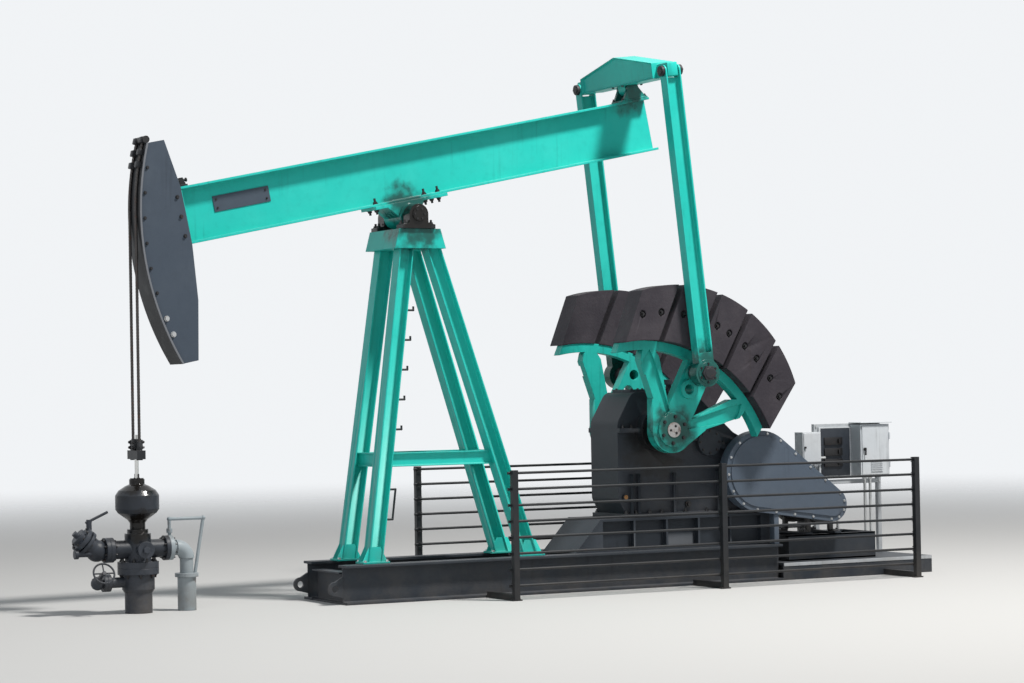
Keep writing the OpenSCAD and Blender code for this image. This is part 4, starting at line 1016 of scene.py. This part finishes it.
# %% [markdown]
# ## Belt guard and motor
#
# The belt guard is a pressed steel case, and plated screws hold its lid all round the rim. The motor's fan
# cowl has a grille, made of thin rings and of bars that cross them.

# %% Belt guard screws
LID_Y, INSET = -0.43, 0.022
big, small = Vector((3.25, LID_Y, 0.97)), Vector((4.0, LID_Y, 0.65))
BIG_RADIUS, SMALL_RADIUS = 0.36, 0.15
along = (small - big).normalized()
tilt = math.asin((BIG_RADIUS - SMALL_RADIUS) / (small - big).length)
heading_down = math.atan2(along.z, along.x)


def on_lid(centre, radius, angle):
    reach = radius - INSET
    return centre + Vector((reach * math.cos(angle), 0, reach * math.sin(angle)))


screws = []
for centre, radius, count, sign in ((big, BIG_RADIUS, 9, 1), (small, SMALL_RADIUS, 5, -1)):
    first = heading_down + sign * (math.pi / 2 - tilt)
    sweep = math.pi + sign * 2 * tilt
    screws += [on_lid(centre, radius, first + sweep * k / (count - 1)) for k in range(count)]
for sign in (-1, 1):
    angle = heading_down + sign * (math.pi / 2 - tilt)
    start, end = on_lid(big, BIG_RADIUS, angle), on_lid(small, SMALL_RADIUS, angle)
    screws += [start.lerp(end, t) for t in (0.25, 0.5, 0.75)]
bolts("belt_guard_screws", [(at, (0, -1, 0)) for at in screws], 0.010, "base", finish=zinc)

# %% Motor fittings
MOTOR_X, MOTOR_Z, COWL_Y = 4.0, 0.65, 0.28
bm = bmesh.new()
for radius in (0.03, 0.055, 0.08, 0.105, 0.13):
    ring(bm, (MOTOR_X, COWL_Y, MOTOR_Z), (0, 1, 0), radius, 0.004, steps=32, sides=6)
for k in range(8):
    angle = math.pi * k / 8
    reach = Vector((math.cos(angle), 0, math.sin(angle))) * 0.135
    centre = Vector((MOTOR_X, COWL_Y + 0.001, MOTOR_Z))
    rod(bm, centre - reach, centre + reach, 0.003, sides=6)
piece("fan_grille", bm, black_bolt, "base")
bm = bmesh.new()
ring(bm, (MOTOR_X, 0.0, MOTOR_Z + 0.212), (0, 1, 0), 0.028, 0.008)
piece("motor_eye", bm, motor_paint, "base")
places = grid((MOTOR_X - 0.173, MOTOR_X + 0.173), (-0.225, 0.15), [0.418])
bolts("motor_foot_bolts", places, 0.011, "base")
bolts("terminal_box_screws", grid([4.2425], (-0.055, 0.065), (0.635, 0.725), (1, 0, 0)), 0.006, "base")

# %% [markdown]
# ## Railings
#
# The rails pass in front of the posts and are held by U bolts. Their ends are closed by caps, and each post
# stands on a plate with two anchors.

# %% Rail clamps, caps and anchors
RAIL_Y = 0.905
post_places = [0.532 + 4.018 * k / 2 for k in range(3)]
rail_heights = [0.12 + k * (1.07 - 0.12 - 0.024) / 7 for k in range(8)]
bm = bmesh.new()
for side in (-1, 1):
    front, back, face = side * 0.9051, side * 0.887, side * 0.889
    for x in post_places:
        for z in rail_heights:
            for height in (z - 0.018, z + 0.018):
                rod(bm, (x - 0.02, face, height), (x + 0.02, face, height), 0.004, sides=8)
                rod(bm, (x, back, height), (x, front, height), 0.004, sides=8)
    for z in rail_heights:
        for x, way in ((0.492, -1), (4.59, 1)):
            rod(bm, (x, side * RAIL_Y, z), (x + way * 0.006, side * RAIL_Y, z), 0.0125, sides=14)
piece("rail_clamps", bm, rail_paint, "base")
places = [((x + dx, side * 0.93, 0.010), (0, 0, 1)) for side in (-1, 1) for x in post_places
          for dx in (-0.035, 0.035)]
bolts("rail_anchors", places, 0.007, "base")

# %% [markdown]
# ## Control boxes
#
# The pale box holds the motor starter, the dark panel the breakers, and the small box the timer. Doors hang
# on two hinges, close with a quarter turn latch, and conduits run down from the boxes to the deck.

# %% Box fittings
HINGE_X, DOOR_Y, LATCH_X = 5.022, 0.12, 4.735
bm = bmesh.new()
for z in (0.98, 1.24):
    rod(bm, (HINGE_X, DOOR_Y + 0.006, z - 0.03), (HINGE_X, DOOR_Y + 0.006, z + 0.03), 0.008, sides=12)
block(bm, (4.86, 0.2, 1.366), (0.35, 0.2, 0.008), bevel=0.002)
piece("door_hinges", bm, cabinet_paint, "base")
bm = bmesh.new()
rod(bm, (LATCH_X, DOOR_Y - 0.001, 1.12), (LATCH_X, DOOR_Y - 0.02, 1.12), 0.014, sides=16)
block(bm, (LATCH_X, DOOR_Y - 0.024, 1.10), (0.014, 0.01, 0.07), bevel=0.003)
rod(bm, (4.12, 0.18, 1.15), (4.12, 0.168, 1.15), 0.01, sides=14)
for z in (1.20, 1.10, 1.0):
    block(bm, (4.49, 0.272, z), (0.2, 0.02, 0.07), bevel=0.003)
    block(bm, (4.545, 0.256, z), (0.012, 0.02, 0.04), bevel=0.003)
piece("latches_and_breakers", bm, black_bolt, "base")
print("box fittings made")

# %% The dark panel behind the breakers, and the louvres of the starter box
bm = bmesh.new()
block(bm, (4.52, 0.279, 1.1), (0.32, 0.006, 0.44), bevel=0.002)
piece("breaker_panel", bm, reducer_paint, "base")
bm = bmesh.new()
for k in range(6):
    block(bm, (4.87, DOOR_Y - 0.004, 0.915 + 0.018 * k), (0.13, 0.008, 0.007), bevel=0.002)
piece("louvres", bm, cabinet_paint, "base")
print("panel and louvres made")

# %% Conduits
DECK_TOP = 0.155


def bent_pipe(bm, points, radius, sides=12):
    for start, end in zip(points, points[1:]):
        rod(bm, start, end, radius, sides=sides)
    for corner in points[1:-1]:
        bmesh.ops.create_uvsphere(bm, u_segments=sides, v_segments=8, radius=radius * 1.02,
                                  matrix=Matrix.Translation(Vector(corner)))


bm = bmesh.new()
for x, y, box_bottom in ((4.80, 0.22, 0.872), (4.86, 0.22, 0.872), (4.2, 0.297, 0.992)):
    bent_pipe(bm, [(x, y, box_bottom), (x, y, DECK_TOP)], 0.014)
    rod(bm, (x, y, box_bottom), (x, y, box_bottom - 0.03), 0.022, sides=6)
bent_pipe(bm, [(4.292, 0.25, 1.05), (4.38, 0.25, 1.05), (4.38, 0.27, 1.05)], 0.012)
bent_pipe(bm, [(4.31, 0.03, 0.68), (4.36, 0.03, 0.68), (4.36, 0.03, DECK_TOP)], 0.013)
piece("conduits", bm, zinc, "base")
bolts("stand_bolts", grid((4.32, 5.02), [0.299], (0.82, 1.34), (0, -1, 0)), 0.009, "base", finish=zinc)

# %% [markdown]
# ## Wellhead
#
# Flanges are closed by rings of studs with a nut at each end. One side outlet carries a small valve with a
# handwheel, and the gland on top of the drip pot is tightened by two studs.

# %% Studs of the flanges
CASING_TOP, ARM_Z = 0.36, 0.51
places = []
for way in (1, -1):
    places += around((ROD_X, 0, CASING_TOP + way * 0.05), (0, 0, way), 0.138, 8, 0.2)
bolts("casing_studs", places, 0.015, "base", stud=0.016)
places = []
for dx, way in ((-0.285, -1), (-0.215, 1), (0.215, -1), (0.285, 1)):
    places += around((ROD_X + dx, 0, ARM_Z), (way, 0, 0), 0.083, 8, 0.4)
bolts("arm_studs", places, 0.010, "base", stud=0.010)
on_valve = tilted((ROD_X - 0.345, 0, ARM_Z), math.radians(52))
places = around((0, 0, 0.164), (0, 0, 1), 0.088, 8) + around((0, 0, 0.09), (0, 0, -1), 0.086, 8)
bolts("check_valve_studs", places, 0.009, "base", on_valve, stud=0.008)
bolts("gland_nuts", grid([ROD_X], (-0.042, 0.042), [1.07]), 0.012, "base", stud=0.03)

# %% The outlet's valve, its handwheel and the gland
def handwheel(bm, centre, axis, radius, spokes=4):
    ring(bm, centre, axis, radius, 0.008, steps=32)
    place = facing_matrix(centre, axis)
    for k in range(spokes):
        angle = 2 * math.pi * k / spokes
        tip = place @ Vector((radius * math.cos(angle), radius * math.sin(angle), 0))
        rod(bm, centre, tip, 0.006, sides=8)
    rod(bm, place @ Vector((0, 0, -0.012)), place @ Vector((0, 0, 0.012)), 0.018, sides=14)


outlet = Vector((ROD_X - 0.27, 0, 0.25))
valve = outlet + Vector((-0.07, 0, 0))
wheel = valve + Vector((0, -0.16, 0.088))
bm = bmesh.new()
rod(bm, outlet, outlet + Vector((-0.03, 0, 0)), 0.07, sides=28)
rod(bm, outlet + Vector((-0.03, 0, 0)), outlet + Vector((-0.11, 0, 0)), 0.04)
bmesh.ops.create_uvsphere(bm, u_segments=24, v_segments=16, radius=0.055, matrix=Matrix.Translation(valve))
rod(bm, valve, valve + Vector((0, -0.11, 0.06)), 0.026)
rod(bm, valve + Vector((0, -0.10, 0.055)), wheel, 0.010)
handwheel(bm, wheel, Vector((0, -0.88, 0.48)), 0.085)
rod(bm, (ROD_X, -0.205, ARM_Z), (ROD_X, -0.225, ARM_Z), 0.030, sides=6)
rod(bm, (ROD_X, 0, 1.07), (ROD_X, 0, 1.078), 0.055, sides=28)
piece("valves_and_gland", bm, well_iron, "base")
print("valve, handwheel and gland made")

# %% [markdown]
# ## Rope sockets and rod clamp
#
# Where the ropes meet the carrier bar, a poured socket holds each one and a split collar stops it. The rod
# clamp above the bar grips the rod between two jaws, drawn together by four bolts.

# %% Sockets and clamp nuts
bm = bmesh.new()
for side in ROPE_SIDES:
    rod(bm, (ROD_X, side, 1.326), (ROD_X, side, 1.37), 0.021, end_radius=0.0145)
    rod(bm, (ROD_X, side, 1.23), (ROD_X, side, 1.222), 0.026, sides=6)
piece("rope_sockets", bm, bearing_iron, "rod")
places = []
for way in (-1, 1):
    places += grid([ROD_X + way * 0.040], (-0.034, 0.034), (1.324, 1.366), (way, 0, 0))
bolts("clamp_nuts", places, 0.012, "rod")

# %% [markdown]
# ## Floor and light
#
# The unit stands in a plain studio. The floor is pale and thins out far away, so that it meets the backdrop
# without a line. One large soft lamp stands high on the right, where the sun is in the photograph, a weaker
# one fills from the left, and the world gives an even sky.

# %% Floor
FLOOR_CENTRE = (1.2, 0, -0.001)
bm = bmesh.new()
bmesh.ops.create_circle(bm, cap_ends=True, segments=96, radius=60.0, matrix=Matrix.Translation(FLOOR_CENTRE))
mesh = bpy.data.meshes.new("floor")
bm.to_mesh(mesh)
bm.free()
floor = bpy.data.objects.new("floor", mesh)
bpy.context.scene.collection.objects.link(floor)
floor_paint, tree, shader, place = new_material("studio_floor")
shader.inputs["Base Color"].default_value = (0.56, 0.56, 0.555, 1)
shader.inputs["Roughness"].default_value = 0.9
away = vectors("DISTANCE", place, (1.2, 0, 0), out=1)
fading = add(tree, "MixShader", {0: spread(away, 7.0, 30.0), 1: shader.outputs[0],
                                 2: add(tree, "BsdfTransparent")})
connect(tree.nodes["Material Output"], {"Surface": fading})
mesh.materials.append(floor_paint)
print("floor laid")

# %% World
world = bpy.data.worlds.new("studio")
bpy.context.scene.world = world
world.use_nodes = True
tree = world.node_tree
rays = tree.nodes.new("ShaderNodeLightPath").outputs
seen = maths("MAXIMUM", maths("MAXIMUM", rays["Is Camera Ray"], rays["Is Glossy Ray"]),
             rays["Is Transmission Ray"])
sky = add(tree, "Background", {0: (0.90, 0.95, 1.0, 1), 1: 0.25})
backdrop = add(tree, "Background", {0: (0.88, 0.9, 0.92, 1), 1: 1.0})
lit = add(tree, "MixShader", {0: seen, 1: sky, 2: backdrop})
connect(tree.nodes["World Output"], {"Surface": lit})
print("sky and backdrop set")

# %% Lamps
def lamp(name, place, target, size, power, colour):
    data = bpy.data.lights.new(name, "AREA")
    data.size, data.energy, data.color = size, power, colour
    obj = bpy.data.objects.new(name, data)
    bpy.context.scene.collection.objects.link(obj)
    obj.location = place
    obj.rotation_mode = "QUATERNION"
    obj.rotation_quaternion = (Vector(target) - Vector(place)).to_track_quat("-Z", "Y")


lamp("key", (5.1, -6.9, 15.6), (1.0, 0, 1.8), 1.8, 3500.0, (1.0, 0.97, 0.93))
lamp("fill", (-12.0, -10.0, 7.0), (0.0, 0, 2.0), 7.0, 280.0, (0.9, 0.95, 1.0))
bpy.context.scene.view_settings.view_transform = "Standard"
print("studio set")

# %% [markdown]
